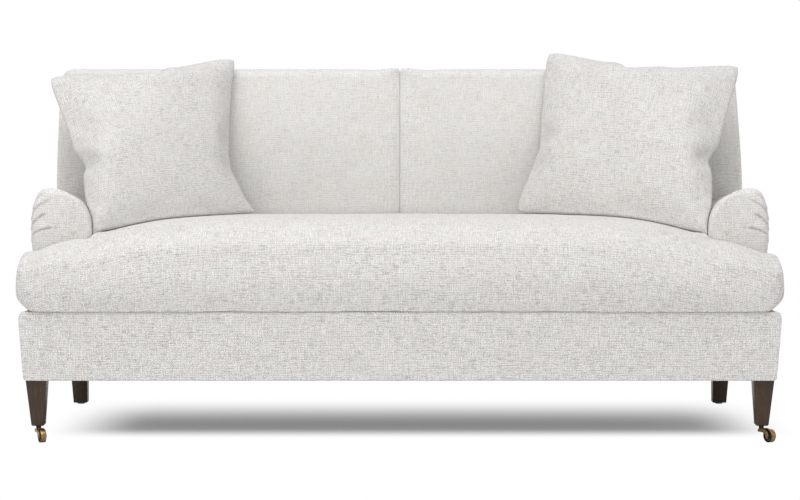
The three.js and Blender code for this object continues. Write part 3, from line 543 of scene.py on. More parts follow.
# %% Shared sizes
front_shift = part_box("arm_right")[0][1] - 172 * mm
half_length = 940 * mm
base_half = 932 * mm
base_foot_half = 919 * mm
rail_foot = 152.5 * mm
deck_top = 322 * mm
back_top = 929 * mm
arm_inner = 775 * mm
arm_width = 157 * mm
arm_top = 618 * mm
arm_foot = 296.3 * mm
crease_height = 440 * mm
seat_depth = 600 * mm
pad_face = 604 * mm
back_lean = math.tan(math.radians(5.5))
lounge_lean = math.tan(math.radians(12))
pad_back = 61.4 * mm


roll_shares = [
    (0, 0), (0, 0.32), (0, 0.624), (0.045, 0.779), (0.146, 0.873), (0.24, 0.922), (0.35, 0.957), (0.5, 0.987),
    (0.62, 1), (0.76, 1), (0.87, 0.968), (0.94, 0.9), (0.98, 0.825), (1, 0.73), (1, 0.6), (0.98, 0.5),
]
arm_fall = 34 * mm
arm_tuck = 27 * mm


def from_front(depth):
    """Y at a depth behind the seat cushion's front."""
    return depth + front_shift


def rear_arm_height(x):
    """Height of the arm's top at its rear end, where it has fallen a little."""
    shares = [s for s in roll_shares if 0.7 < s[1] and s[0] < 0.99]
    up = np.interp((x - arm_inner) / arm_width, [a for a, _ in shares], [u for _, u in shares])
    full = arm_foot + up * (arm_top - arm_foot)
    return crease_height + (full - crease_height) * (1 - arm_fall / (arm_top - crease_height)) - inner_fall(x)


def inner_fall(x):
    """The inner shoulder of the roll falls a little more than its crest does."""
    return arm_tuck * min(max(1 - (x - arm_inner - 20 * mm) / (75 * mm), 0), 1)


def rear_at(z):
    """Depth of the sofa's leaning back plane at a height."""
    return 800 * mm + (z - rail_foot) * back_lean


print("the seat's front is at y =", round(from_front(0), 4))

# %% [markdown]
# Seat cushion
#
# One long bench cushion runs the whole length. It is T-shaped: two ears at the front stand
# before the arms. It is filled full, so the top is crowned, it falls softly over the front edge
# and drops towards the arms, and its sides are drawn in between the corners. It is made as one
# padded block, then smoothed, and its inner corners by the arms are pushed out a little.

# %% Seat cushion
seat_crown = 548 * mm
seat_body_half = 770.4 * mm
seat_ear_depth = 165 * mm
seat_edge = 34 * mm
wing_places = [0, 20 * mm, 53 * mm, 96 * mm, 135 * mm, 157 * mm]
wing_drops = {"left": [0, -3, 1, 11, 28, 38], "right": [0, 1, 7, 19, 34, 44]}


def seat_top(x, y):
    depth = y
    across = min(abs(x) / seat_body_half, 1)
    beyond = max(abs(x) - seat_body_half, 0)
    rear = min(max(2 * depth / seat_depth - 1, 0), 1)
    front = 78 * mm * math.exp(-max(depth, 0) / np.interp(abs(x), [0.70, 0.80], [62 * mm, 50 * mm]))
    wing = np.interp(beyond, wing_places, wing_drops["right" if x > 0 else "left"]) * mm
    drop = 50 * mm * across ** 6 + wing
    return seat_crown - drop - front - 10 * mm * rear + ripple((x, y, 0.3), 0.16, 2.2 * mm, 3)


def seat_draw(x, y):
    return -6 * mm * (1 - (x / (half_length - seat_edge)) ** 2) + ripple((x, y, 0), 0.10, 1.6 * mm, 5)


def seat_round(x, y):
    """Tight turns beside the arms, softer at the ends and softest along the front."""
    x = abs(x)
    if y < seat_ear_depth - seat_edge - 1 * mm:
        return np.interp(x, [0.8 * ear_edge, ear_edge], [34 * mm, 11 * mm])
    if x > body_edge + 1 * mm:
        return np.interp(x, [body_edge, ear_edge], [4 * mm, 11 * mm])
    if x > body_edge - 1 * mm:
        return np.interp(y, [seat_depth - 90 * mm, seat_depth - seat_edge], [4 * mm, 20 * mm])
    return 20 * mm


def seat_bulge(x, y):
    """The front swells out between its ends, and the other sides hardly do."""
    if y > seat_edge + 1 * mm:
        return 2 * mm
    return np.interp(abs(x), [0.8 * ear_edge, ear_edge], [12 * mm, 3 * mm])


def seat_fullness(x, y):
    """The ends are boxed squarer than the rest."""
    return np.interp(abs(x), [0.85 * ear_edge, ear_edge], [0.7, 0.45])


def seat_place(x, y, z):
    end = max(abs(x) - (half_length - 60 * mm), 0) / (60 * mm)
    low = max(1 - (z - deck_top) / (39 * mm), 0)
    nose = max(1 - y / (7.5 * mm), 0) * max(1 - (x / half_length) ** 2, 0)
    across = x - math.copysign(34 * mm * end * low ** 2, x)
    if y > seat_ear_depth - 12 * mm:
        across *= 1 + 2.8 * mm / seat_body_half * min(max(abs(x) / seat_body_half - 0.9, 0) / 0.1, 1)
    return (across, from_front(y), z - 6.5 * mm * min(nose, 1) * min(low, 1))


body_edge, ear_edge = seat_body_half - seat_edge, half_length - seat_edge
ear_rear = seat_ear_depth - seat_edge
grain_step = 13 * mm
ear_columns = even(body_edge, ear_edge, grain_step)[1:]
seat_columns = [-x for x in reversed(ear_columns)] + even(-body_edge, body_edge, grain_step) + ear_columns
seat_rows = even(seat_edge, ear_rear, grain_step) + even(ear_rear, seat_depth - seat_edge, grain_step)[1:]


def in_seat(i, j):
    x, y = (seat_columns[i] + seat_columns[i + 1]) / 2, (seat_rows[j] + seat_rows[j + 1]) / 2
    return y < ear_rear or abs(x) < body_edge


seat = padded_block(
    "seat_cushion_cover", seat_columns, seat_rows, in_seat, seat_top,
    lambda x, y: deck_top + 0.6 * mm, seat_place,
    boxing(seat_edge, seat_round, 4 * mm, seat_bulge, full=seat_fullness),
    seat_draw,
)
apply(seat, "SMOOTH", factor=0.5, iterations=2)
for vertex in seat.data.vertices:
    x, y, z = vertex.co
    off = math.hypot(abs(x) - seat_body_half, y - from_front(seat_ear_depth))
    near = math.exp(-(off / (14 * mm)) ** 2) * (z > 0.43)
    vertex.co += Vector((math.copysign(3 * mm, x), 3 * mm, 0)) * near
apply(seat, "SUBSURF", levels=1, render_levels=1)
dress(seat, cover_cloth, "seat_cushion", "upholstery_fabric", "seat_cushion", fill=0.85)

# %% [markdown]
# Back sections
#
# The back is two padded sections that meet at a seam in the middle. Each is an L: its upper part
# reaches out over the arm. They lean back, swell in the middle and roll over at the top.

# %% Back sections
ear_bottom = (600 + 4) * mm
pad_edge = 26 * mm


def ear_half(z):
    return base_half - 7 * mm - 6 * mm * (z - arm_top) / (back_top - arm_top)


def pad_plane(z):
    return pad_face + max(0, z - seat_crown) * lounge_lean


def pad_swell(x, z):
    across = min(max(x / ear_half(z), 0), 1)
    up = min(max((z - seat_crown) / (back_top - seat_crown), 0), 1)
    crown = 20 * mm * (0.35 + 0.65 * math.sin(math.pi * across)) * math.sin(math.pi * up)
    return crown + ripple((x, 0.7, z), 0.15, 2.0 * mm, 7)


pad_body = seat_body_half - pad_edge
pad_columns = even(pad_edge + 0.3 * mm, 70 * mm, 5 * mm)[:-1] + even(70 * mm, pad_body, grain_step)
pad_columns += even(pad_body, 918 * mm - pad_edge, grain_step)[1:]
pad_rows = even(deck_top + pad_edge, ear_bottom + pad_edge, grain_step)
pad_rows += even(ear_bottom + pad_edge, back_top - pad_edge, grain_step)[1:]


def in_pad(i, j):
    x, z = (pad_columns[i] + pad_columns[i + 1]) / 2, (pad_rows[j] + pad_rows[j + 1]) / 2
    return z > ear_bottom + pad_edge or x < pad_body


def pad_round(x, z):
    """Shallow at the centre seam, where both sections press together."""
    if z > back_top - pad_edge - 1 * mm:
        return np.interp(x, [27 * mm, 32 * mm, 70 * mm], [1.5 * mm, 4 * mm, 40 * mm])
    return np.interp(x, [27 * mm, 32 * mm, 70 * mm, 0.80], [1.5 * mm, 4 * mm, 40 * mm, 9 * mm])


def pad_fullness(x, z):
    """The outer sides are boxed squarer than the rest."""
    return np.interp(x, [0.80, 0.88], [1.0, 0.5])


def valley(x, side):
    """Both sections sink a little towards the seam, the left one more."""
    run = (x - pad_edge) * 1.4
    return 9 * mm * math.exp(-run / (17 * mm)) if side < 0 else 5 * mm * math.exp(-run / (9 * mm))


def puff(x, z):
    """The top swells a little beside the centre seam."""
    up = max(1 - (back_top - z) / (70 * mm), 0)
    bump = 2.4 * math.exp(-((x - 36 * mm) / (15 * mm)) ** 2) - 2.4 * math.exp(-((x - 78 * mm) / (24 * mm)) ** 2)
    return bump * mm * up


def make_pad(name, side):
    def place(x, z, depth):
        z += puff(x, z)
        outward = 1 + (ear_half(z) - ear_half(back_top)) / half_length if z > ear_bottom else 1
        up = (z - ear_bottom) / (back_top - ear_bottom)
        spread = 7 * mm if side < 0 else (5 - 10 * up) * mm
        outward += spread / half_length * min(max(x - 0.4, 0) / 0.5, 1)
        tuck = 60 * mm
        if x > seat_body_half - 4 * mm and z < ear_bottom + tuck:
            rest = rear_arm_height(x) + 2 * mm
            z = rest + (ear_bottom + tuck - rest) * max((z - ear_bottom) / tuck, 0) ** 1.6
        x = np.interp(x, [0.3 * mm, 26.3 * mm, 70 * mm, 2], [0.1 * mm, 3.6 * mm, 70 * mm, 2])
        return (side * x * outward, from_front(depth), z)

    pad = padded_block(
        name, pad_columns, pad_rows, in_pad,
        lambda x, z: -(pad_plane(z) - pad_swell(x, z) + valley(x, side)), lambda x, z: -(rear_at(z) - pad_back),
        lambda x, z, depth: place(x, z, -depth), boxing(pad_edge, pad_round, 30 * mm, 2 * mm, full=pad_fullness),
        uv_start=(0.37 * (side + 2), 0.21),
    )
    apply(pad, "SMOOTH", factor=0.5, iterations=3)
    apply(pad, "SUBSURF", levels=1, render_levels=1)
    return pad


for side, word in ((-1, "left"), (1, "right")):
    dress(make_pad(f"back_section_{word}", side), back_cloth, "frame", "upholstery_fabric", f"back_pad_{word}", fill=0.9)

# %% [markdown]
# Borders and panels
#
# Flat padded panels close the base, the arms' outsides and the back. Each is pulled tight over
# its rails, so it is almost flat and turns over its edges with a small radius.

# %% Front border
border_edge = 8 * mm


def border_place(x, z, depth):
    rise = (z - rail_foot) / (deck_top - rail_foot)
    spread = base_foot_half + (base_half - base_foot_half) * rise + 3 * mm
    round_corner = 10 * mm * max(0, (z - deck_top + 26 * mm) / (26 * mm)) ** 2
    limit = spread - round_corner * (abs(x) / half_length) ** 40
    return (x * limit / base_half, from_front(-depth), z)


border_columns = even(-base_half + border_edge, base_half - border_edge, 12 * mm)
border_rows = even(rail_foot + border_edge, deck_top - border_edge, 9 * mm)
border = padded_block(
    "front_border_cover", border_columns, border_rows, lambda i, j: True,
    lambda x, z: -8 * mm + ripple((x, 0.2, z), 0.20, 0.8 * mm, 9), lambda x, z: -23.7 * mm,
    border_place, boxing(border_edge, 3 * mm, 2 * mm, full=0.6), uv_start=(0.11, 2.35),
)
apply(border, "SMOOTH", factor=0.5, iterations=2)
apply(border, "SUBSURF", levels=1, render_levels=1)
dress(border, cover_cloth, "frame", "upholstery_fabric", "front_border", fill=1.0)

# %% Outside arms, closed from the base to the roll's crease
arm_front = 172 * mm
rail_front = 24 * mm
panel_edge = 4 * mm
panel_thick = 10 * mm
fit = 0.3 * mm


def panel_at(z):
    rise = min(max((z - rail_foot) / (crease_height - rail_foot), 0), 1)
    return 916 * mm + rise * 10.3 * mm


def make_outside_arm(name, side):
    rear_ref = rear_at(crease_height) - pad_back
    columns = even(rail_front + panel_edge, arm_front - panel_edge, 16 * mm)
    columns += even(arm_front - panel_edge, rear_ref - panel_edge, 16 * mm)[1:]
    rows = even(rail_foot + panel_edge, deck_top - panel_edge, 14 * mm)
    rows += even(deck_top - panel_edge, crease_height - panel_edge, 14 * mm)[1:]

    def here(i, j):
        return columns[i] >= arm_front - panel_edge - fit or rows[j + 1] <= deck_top - panel_edge + fit

    def place(depth, z, out):
        reach = (rear_at(z) - pad_back - rail_front) / (rear_ref - rail_front)
        return (side * out, from_front(rail_front + (depth - rail_front) * reach), z)

    return padded_block(
        name, columns, rows, here, lambda d, z: panel_at(z) + ripple((side, d, z), 0.2, 0.7 * mm, 11),
        lambda d, z: panel_at(z) - panel_thick, place, boxing(panel_edge, 4 * mm, 1.5 * mm, middle=3, steps=4),
        uv_start=(0.6 * side, 3.1),
    )


for side, word in ((-1, "left"), (1, "right")):
    panel = make_outside_arm(f"outside_arm_cover_{word}", side)
    dress(panel, cover_cloth, "frame", "upholstery_fabric", f"outside_arm_{word}", fill=1.0)

# %% Back borders, top border and outside back
border_depth = 52.8 * mm
border_top = 924 * mm


def border_outer(z):
    if z > arm_top:
        return ear_half(z) - 3.5 * mm
    if z < crease_height:
        return panel_at(z)
    share = (z - crease_height) / (arm_top - crease_height)
    return panel_at(crease_height) + share * (ear_half(arm_top) - 3.5 * mm - panel_at(crease_height))


def make_back_border(name, side):
    columns = even(panel_edge, border_depth - panel_edge, 11 * mm)
    rows = even(rail_foot + panel_edge, border_top - panel_edge, 14 * mm)

    def place(depth, z, out):
        return (side * out, from_front(rear_at(z) - pad_back + fit + depth), z)

    return padded_block(
        name, columns, rows, lambda i, j: True, lambda d, z: border_outer(z), lambda d, z: border_outer(z) - panel_thick,
        place, boxing(panel_edge, 4 * mm, 1.5 * mm, middle=3, steps=4), uv_start=(0.9 * side, 4.2),
    )


for side, word in ((-1, "left"), (1, "right")):
    strip = make_back_border(f"back_border_cover_{word}", side)
    dress(strip, cover_cloth, "frame", "upholstery_fabric", f"back_border_{word}", fill=1.0)

top_half = 905.3 * mm
top_strip = padded_block(
    "back_border_top_cover", even(-top_half + panel_edge, top_half - panel_edge, 16 * mm),
    even(panel_edge, 49.6 * mm - panel_edge, 10 * mm), lambda i, j: True,
    lambda x, d: border_top + 1.0 * mm, lambda x, d: border_top - 19.7 * mm,
    lambda x, d, z: (x, from_front(rear_at(z) - 58.5 * mm + d), z),
    boxing(panel_edge, 4 * mm, 1.5 * mm, middle=3, steps=4), uv_start=(0.3, 5.6),
)
dress(top_strip, cover_cloth, "frame", "upholstery_fabric", "back_border_top", fill=1.0)

back_half = 916 * mm
back_edge = 5 * mm
outside_back = padded_block(
    "outside_back_cover", even(-back_half + back_edge, back_half - back_edge, 16 * mm),
    even(rail_foot + back_edge, border_top - back_edge, 16 * mm), lambda i, j: True,
    lambda x, z: 0.6 * mm + ripple((x, 1.4, z), 0.22, 1.2 * mm, 13), lambda x, z: -8 * mm,
    lambda x, z, out: (x, from_front(rear_at(z) + out), z), boxing(back_edge, 5 * mm, 1.5 * mm, middle=3, steps=5),
    uv_start=(0.2, 6.4),
)
dress(outside_back, cover_cloth, "frame", "upholstery_fabric", "outside_back", fill=1.0)

# %% Deck under the cushion
deck_edge = 6 * mm
ear_out = 911 * mm
deck_body = 774.7 * mm
deck_rear = rear_at(deck_top) - pad_back
deck_columns = even(deck_body - deck_edge, ear_out - deck_edge, 20 * mm)[1:]
deck_columns = [-x for x in reversed(deck_columns)] + even(-deck_body + deck_edge, deck_body - deck_edge, 20 * mm) + deck_columns
deck_rows = even(rail_front + deck_edge, arm_front - fit - deck_edge, 18 * mm)
deck_rows += even(arm_front - fit - deck_edge, deck_rear - deck_edge, 20 * mm)[1:]


def in_deck(i, j):
    middle = abs(deck_columns[i] + deck_columns[i + 1]) / 2
    return deck_rows[j + 1] <= arm_front - deck_edge or middle < deck_body - deck_edge


deck = padded_block(
    "deck_cover", deck_columns, deck_rows, in_deck,
    lambda x, d: deck_top - 0.8 * mm + ripple((x, d, 0), 0.15, 0.6 * mm, 15), lambda x, d: 300.7 * mm,
    lambda x, d, z: (x, from_front(d), z), boxing(deck_edge, 6 * mm, 3 * mm, middle=3, steps=4), uv_start=(0.5, 8.0),
)
dress(deck, deck_cloth, "frame", "deck_cloth", "deck_pad", fill=0.9)

# %% [markdown]
# Dust cover
#
# A thin black cloth is stapled under the base, cut out round the four legs. It is a stretched
# sheet with a very slight sag, so it is made as one thin grid, given thickness afterwards.

# %% Dust cover
cover_half, cover_leg = 905.4 * mm, 867.7 * mm
cover_front, cover_rear = -412.1 * mm, 355.0 * mm
leg_back_front, leg_front_rear = -366.5 * mm, 302.3 * mm
cover_xs = [-cover_half] + even(-cover_leg, cover_leg, 40 * mm) + [cover_half]
cover_ys = [cover_front] + even(leg_back_front, leg_front_rear, 40 * mm) + [cover_rear]


def cover_at(x, y):
    across = max(0, 1 - (x / cover_leg) ** 2)
    along = max(0, 1 - (2 * (y - leg_back_front) / (leg_front_rear - leg_back_front) - 1) ** 2)
    return 152.1 * mm - 3.5 * mm * across * along


sheet_number, sheet_points, sheet_faces = {}, [], []
for i in range(len(cover_xs) - 1):
    for j in range(len(cover_ys) - 1):
        if i in (0, len(cover_xs) - 2) and j in (0, len(cover_ys) - 2):
            continue
        ring = []
        for a, b in ((i, j), (i + 1, j), (i + 1, j + 1), (i, j + 1)):
            if (a, b) not in sheet_number:
                sheet_number[(a, b)] = len(sheet_points)
                sheet_points.append((cover_xs[a], cover_ys[b], cover_at(cover_xs[a], cover_ys[b])))
            ring.append(sheet_number[(a, b)])
        sheet_faces.append(ring)
dust_cover = mesh_piece("dust_cover_cloth", sheet_points, sheet_faces)
apply(dust_cover, "SOLIDIFY", thickness=0.8 * mm, offset=-1)
dress(dust_cover, lining_cloth, "frame", "lining_cloth", "dust_cover")

# %% [markdown]
# Arms
#
# The roll arm is the mark of this sofa: a soft low roll that turns under to a crease, with the
# cloth of the front drawn over it and laid in small fanned pleats on the outer side. The arm is
# lofted: one section outline is carried from the front to the back, shrunk towards its centre
# for the front face. The pleats are steps in the surface. Each is a short curve, and a point near
# it is raised above the curve and let down below it, as where one layer laps the next.

# %% The arm's section
roll = [(arm_inner + a * arm_width, arm_foot + u * (arm_top - arm_foot)) for a, u in roll_shares]
under = [
    (panel_at(crease_height), crease_height + fit),
    (panel_at(crease_height) - panel_thick - fit, crease_height + fit),
    (916 * mm - panel_thick - fit, arm_foot),
]


def through(points, step):
    """A smooth line through points, with even steps along it."""
    fine = []
    for k in range(len(points) - 1):
        a, b = Vector(points[max(k - 1, 0)]), Vector(points[k])
        c, d = Vector(points[k + 1]), Vector(points[min(k + 2, len(points) - 1)])
        for t in (0, 0.25, 0.5, 0.75):
            first = (c - a) * 0.5
            second = (d - b) * 0.5
            t2, t3 = t * t, t * t * t
            fine.append(b * (2 * t3 - 3 * t2 + 1) + first * (t3 - 2 * t2 + t) + c * (3 * t2 - 2 * t3) + second * (t3 - t2))
    fine.append(Vector(points[-1]))
    lengths = [0.0]
    for k in range(1, len(fine)):
        lengths.append(lengths[-1] + (fine[k] - fine[k - 1]).length)
    places, k = [], 0
    for target in even(0, lengths[-1], step):
        while k < len(lengths) - 2 and lengths[k + 1] < target:
            k += 1
        share = (target - lengths[k]) / max(lengths[k + 1] - lengths[k], 1e-9)
        places.append(fine[k].lerp(fine[k + 1], share))
    return places


section = through(roll, 2.6 * mm)
for k, start in enumerate(under):
    after = under[k + 1] if k + 1 < len(under) else roll[0]
    section += [Vector(start).lerp(Vector(after), t) for t in even(0, 1, 0.25)[:-1]]
arm_centre = Vector((arm_inner + arm_width / 2, (arm_foot + arm_top) / 2))
print("arm section of", len(section), "points")

# %% Pleats
pleats = [
    [(-0.050, -0.014), (-0.022, -0.011), (0.000, 0.000), (0.0061, 0.0111), (0.0153, 0.0194), (0.032, 0.0277), (0.054, 0.0314), (0.082, 0.034)],
    [(-0.045, -0.014), (-0.020, -0.011), (0.000, 0.000), (0.0061, 0.0100), (0.0150, 0.0184), (0.0240, 0.0263), (0.0350, 0.0330), (0.054, 0.040)],
    [(-0.042, -0.014), (-0.018, -0.011), (0.000, 0.000), (0.0045, 0.0110), (0.0130, 0.0230), (0.0260, 0.0330), (0.0400, 0.0400), (0.060, 0.047)],
    [(-0.040, -0.012), (-0.016, -0.009), (0.000, 0.000), (0.0052, 0.0130), (0.0120, 0.0240), (0.0200, 0.0300), (0.034, 0.035)],
]
pleat_heights = [488 * mm, 519 * mm, 546 * mm, 572 * mm]
pleat_depths = [2.5 * mm, 2.9 * mm, 2.8 * mm, 2.6 * mm]
pleat_lines = [
    [Vector((a, z + height)) for a, z in line] for line, height in zip(pleats, pleat_heights)
]


def smooth_share(value, low, high):
    share = min(max((value - low) / (high - low), 0), 1)
    return share * share * (3 - 2 * share)


def pleat_step(a, z):
    """How far the cloth stands out at a place laid flat: a runs inwards from the arm's outer edge."""
    total = 0.0
    for line, depth in zip(pleat_lines, pleat_depths):
        best, side, along = 1.0, 1.0, 0.0
        for k in range(len(line) - 1):
            start, span = line[k], line[k + 1] - line[k]
            t = ((a - start.x) * span.x + (z - start.y) * span.y) / span.length_squared
            clipped = min(max(t, 0), 1)
            dx, dz = a - start.x - clipped * span.x, z - start.y - clipped * span.y
            distance = math.hypot(dx, dz)
            if distance < best:
                best = distance
                side = 1.0 if span.x * dz - span.y * dx > 0 else -1.0
                along = (k + clipped) / (len(line) - 1)
        ends = smooth_share(along, 0, 0.2) * (1 - smooth_share(along, 0.82, 1.0))
        ends *= 0.60 + 0.40 * smooth_share(a, -2 * mm, 8 * mm)
        groove = 0.8 * math.exp(-(best / (1.8 * mm)) ** 2)
        if side > 0:
            total += depth * ends * (smooth_share(best, 0, 3 * mm) * math.exp(-best / (12 * mm)) - groove)
        else:
            total -= depth * ends * (0.4 * math.exp(-best / (5 * mm)) + groove)
    return total


# %% The right arm, and the left one mirrored from it
def arm_top_at(depth):
    return arm_top - arm_fall * min(max((depth - arm_front) / (pad_face - arm_front), 0), 1)


def fallen(x, z, depth):
    if z <= crease_height + fit:
        return z
    above = (z - crease_height) / (arm_top - crease_height)
    back = min(max((depth - arm_front) / (pad_face - arm_front), 0), 1)
    return crease_height + above * (arm_top_at(depth) - crease_height) - inner_fall(x) * back * above


outer_line = sorted((p.y, p.x) for p in section if p.x > arm_centre.x and p.y > crease_height)


def outer_at(z):
    best = max((x for height, x in outer_line if abs(height - z) < 9 * mm), default=arm_centre.x)
    return best


def crisp(p):
    """The inner edge turns tighter than the outer one, which the pleats soften."""
    return 0.35 + 0.65 * smooth_share(p.x, arm_centre.x - 35 * mm, arm_centre.x + 35 * mm)


def arm_point(p, shrink, depth):
    shrink *= crisp(p)
    x = arm_centre.x + (p.x - arm_centre.x) * (1 - shrink / (arm_width / 2))
    z = arm_centre.y + (p.y - arm_centre.y) * (1 - shrink / (arm_top - arm_centre.y))
    return Vector((x, from_front(depth), fallen(x, z, depth)))


front_round, front_inset = 28 * mm, 22 * mm
stations = []
for share in even(0.06, 0.975, 0.026):
    swell = 5 * mm * (1 - share ** 2)
    ring = []
    for p in section:
        edge = arm_point(p, front_inset, arm_front)
        middle = Vector((arm_centre.x, edge.y, arm_centre.y))
        spot = middle.lerp(edge, share)
        ring.append(Vector((spot.x, spot.y - swell, spot.z)))
    stations.append(ring)
face_rings = len(stations)
for k in range(15):
    angle = math.pi / 2 * k / 14
    shrink, back = front_inset * (1 - math.sin(angle)), front_round * (1 - math.cos(angle))
    stations.append([arm_point(p, shrink, arm_front + back * crisp(p)) for p in section])
for depth in even(arm_front + front_round, arm_front + 90 * mm, 3.4 * mm)[1:]:
    stations.append([arm_point(p, 0, depth) for p in section])
for depth in even(arm_front + 90 * mm, pad_face, 22 * mm)[1:]:
    stations.append([arm_point(p, 0, depth) for p in section])
ends = [(p.x, fallen(p.x, p.y, pad_face)) for p in section]
stations.append([Vector((x, from_front(rear_at(z) - pad_back), z)) for x, z in ends])


def arm_cover(name, side):
    count = len(section)
    points, ways = [Vector((arm_centre.x, from_front(arm_front) - 5 * mm, arm_centre.y))], []
    for ring in stations:
        points += ring
    faces, covers = [], []
    run = [0.0]
    for k in range(count):
        run.append(run[-1] + (section[(k + 1) % count] - section[k]).length)

    def flat(index, corner, front):
        p = points[index]
        if front:
            return (p.x + 1.1, p.z + 9.0)
        return (p.y + 0.2, run[corner] + 9.0)

    for k in range(count):
        ring = [0, 1 + k, 1 + (k + 1) % count]
        faces.append(ring)
        covers.append([flat(i, k, True) for i in ring])
    for s in range(len(stations) - 1):
        for k in range(count):
            after = (k + 1) % count
            ring = [1 + s * count + k, 1 + (s + 1) * count + k, 1 + (s + 1) * count + after, 1 + s * count + after]
            faces.append(ring)
            corners = [k, k, k + 1, k + 1]
            covers.append([flat(i, c, s < face_rings + 6) for i, c in zip(ring, corners)])
    start = 1 + (len(stations) - 1) * count
    last = [start + k for k in range(count)]
    faces.append(last)
    covers.append([flat(i, k, True) for k, i in enumerate(last)])
    arm = mesh_piece(name, points, faces, covers)
    normals = [v.normal.copy() for v in arm.data.vertices]
    for vertex, normal in zip(arm.data.vertices, normals):
        x, y, z = vertex.co
        back = y - from_front(arm_front)
        if x > arm_centre.x - 10 * mm and z > crease_height + 8 * mm and back < 75 * mm:
            inward = max(outer_at(z) - x, 0) - max(back - 6 * mm, 0)
            vertex.co += normal * pleat_step(inward, z)
        tight = 2.5 * mm * smooth_share(x, arm_centre.x, base_half) * abs(normal.x)
        vertex.co += normal * (ripple((x, y, z), 0.11, 1.0 * mm, 17) + 1.2 * mm * max(normal.z, 0) - tight)
    if side < 0:
        for vertex in arm.data.vertices:
            vertex.co.x = -vertex.co.x
        shell = bmesh.new()
        shell.from_mesh(arm.data)
        bmesh.ops.reverse_faces(shell, faces=shell.faces)
        shell.to_mesh(arm.data)
        shell.free()
    return arm


for side, word in ((-1, "left"), (1, "right")):
    dress(arm_cover(f"arm_cover_{word}", side), arm_cloth, "frame", "upholstery_fabric", f"arm_{word}", fill=0.95)

# %% [markdown]
# Throw pillows
#
# Two square pillows lean in the corners between the arms and the back. A real one is two flat
# squares of cloth sewn round the edge and stuffed with a soft insert. So each is made that way:
# two flat grids joined at their rim, blown up by pressure as a cloth, with the corners left as
# small points. The finished shape is then laid on the four corners where the pillow rests.

# %% Flat pillow cover
pillow_side = 559 * mm
pillow_thick = 166 * mm
pillow_cells = 44
corner_taper = -0.006


def pillow_cover(name, seed):
    steps = pillow_cells
    points, number, faces, covers = [], {}, [], []
    for layer in (1, -1):
        for i in range(steps + 1):
            for j in range(steps + 1):
                rim = i in (0, steps) or j in (0, steps)
                key = (0 if rim else layer, i, j)
                if key in number:
                    continue
                number[key] = len(points)
                u, v = i / steps * 2 - 1, j / steps * 2 - 1
                x = u * pillow_side / 2 * (1 + corner_taper * (1 - v * v))
                y = v * pillow_side / 2 * (1 + corner_taper * (1 - u * u))
                tip = max((abs(u) + abs(v) - 1.84) / 0.16, 0) ** 2 * 12 * mm
                x, y = x - math.copysign(tip, u), y - math.copysign(tip, v)
                points.append((x, y, 0 if rim else layer * 4 * mm))
    for layer in (1, -1):
        for i in range(steps):
            for j in range(steps):
                ring = [(i, j), (i + 1, j), (i + 1, j + 1), (i, j + 1)]
                if layer < 0:
                    ring.reverse()
                corners = [number[(0 if a in (0, steps) or b in (0, steps) else layer, a, b)] for a, b in ring]
                flat = [(a / steps * pillow_side + seed, b / steps * pillow_side + 11 + layer) for a, b in ring]
                faces.append(corners)
                covers.append(flat)
    return mesh_piece(name, points, faces, covers)


# %% Blow the pillow up
def partners():
    """Points that lie opposite each other on the two squares, and their steps in from the rim."""
    rim, inner = pillow_cells + 1, pillow_cells - 1
    for i in range(1, pillow_cells):
        for j in range(1, pillow_cells):
            rings = min(i, j, pillow_cells - i, pillow_cells - j)
            yield i * rim + j, rim * rim + (i - 1) * inner + j - 1, rings


def fill_pillow(piece, volume):
    cloth = piece.modifiers.new("fill", "CLOTH")
    cloth.settings.quality = 5
    cloth.settings.mass = 0.05
    cloth.settings.tension_stiffness = 10
    cloth.settings.compression_stiffness = 10
    cloth.settings.shear_stiffness = 4
    cloth.settings.bending_stiffness = 3
    cloth.settings.air_damping = 2
    cloth.settings.use_pressure = True
    cloth.settings.use_pressure_volume = True
    cloth.settings.target_volume = volume
    cloth.settings.uniform_pressure_force = 0
    cloth.settings.effector_weights.gravity = 0
    cloth.collision_settings.use_collision = False
    scene = bpy.context.scene
    scene.frame_start, scene.frame_end = 1, 24
    for moment in range(1, 25):
        scene.frame_set(moment)
    alone(piece)
    bpy.ops.object.modifier_apply(modifier="fill")
    scene.frame_set(1)
    apply(piece, "SMOOTH", factor=0.5, iterations=5)
    for first, second, rings in partners():
        least = 3.2 * mm * math.sqrt(rings)
        piece.data.vertices[first].co.z = max(piece.data.vertices[first].co.z, least)
        piece.data.vertices[second].co.z = min(piece.data.vertices[second].co.z, -least)
    heights = [v.co.z for v in piece.data.vertices]
    print(piece.name, "blown up to", round(max(heights) - min(heights), 4), "m")


# %% Lay each pillow on its corners
def lay_pillow(piece, low_outer, low_inner, high_outer, high_inner, thick, side, seed, hollow):
    corners = [Vector(c) * mm for c in (low_outer, low_inner, high_outer, high_inner)]
    across = (corners[1] + corners[3] - corners[0] - corners[2]) / 2
    up = (corners[2] + corners[3] - corners[0] - corners[1]) / 2
    facing = across.cross(up).normalized() * side
    heights = [v.co.z for v in piece.data.vertices]
    tall = thick / (max(heights) - min(heights))
    tip = piece.data.vertices[0].co
    reach = (abs(tip.x) + abs(tip.y)) / 2
    for vertex in piece.data.vertices:
        u, v = (vertex.co.x / reach + 1) / 2, (vertex.co.y / reach + 1) / 2
        low = corners[0].lerp(corners[1], u)
        high = corners[2].lerp(corners[3], u)
        dent = 1 + 0.06 * noise.noise(Vector((u * 2.3 + seed, v * 2.3, seed)))
        sag = 28 * mm * max(1 - (2 * u - 1) ** 2, 0) * max(1 - v / 0.4, 0) ** 2
        drawn = np.interp(v, *hollow) * mm * max((u - 0.3) / 0.7, 0) ** 1.2
        lift = 11 * mm * max(1 - (2 * u - 1) ** 2, 0) * max((v - 0.6) / 0.4, 0) ** 2 if side > 0 else 0
        vertex.co = low.lerp(high, v) + facing * vertex.co.z * tall * dent
        vertex.co += up.normalized() * (lift - sag) - across.normalized() * drawn


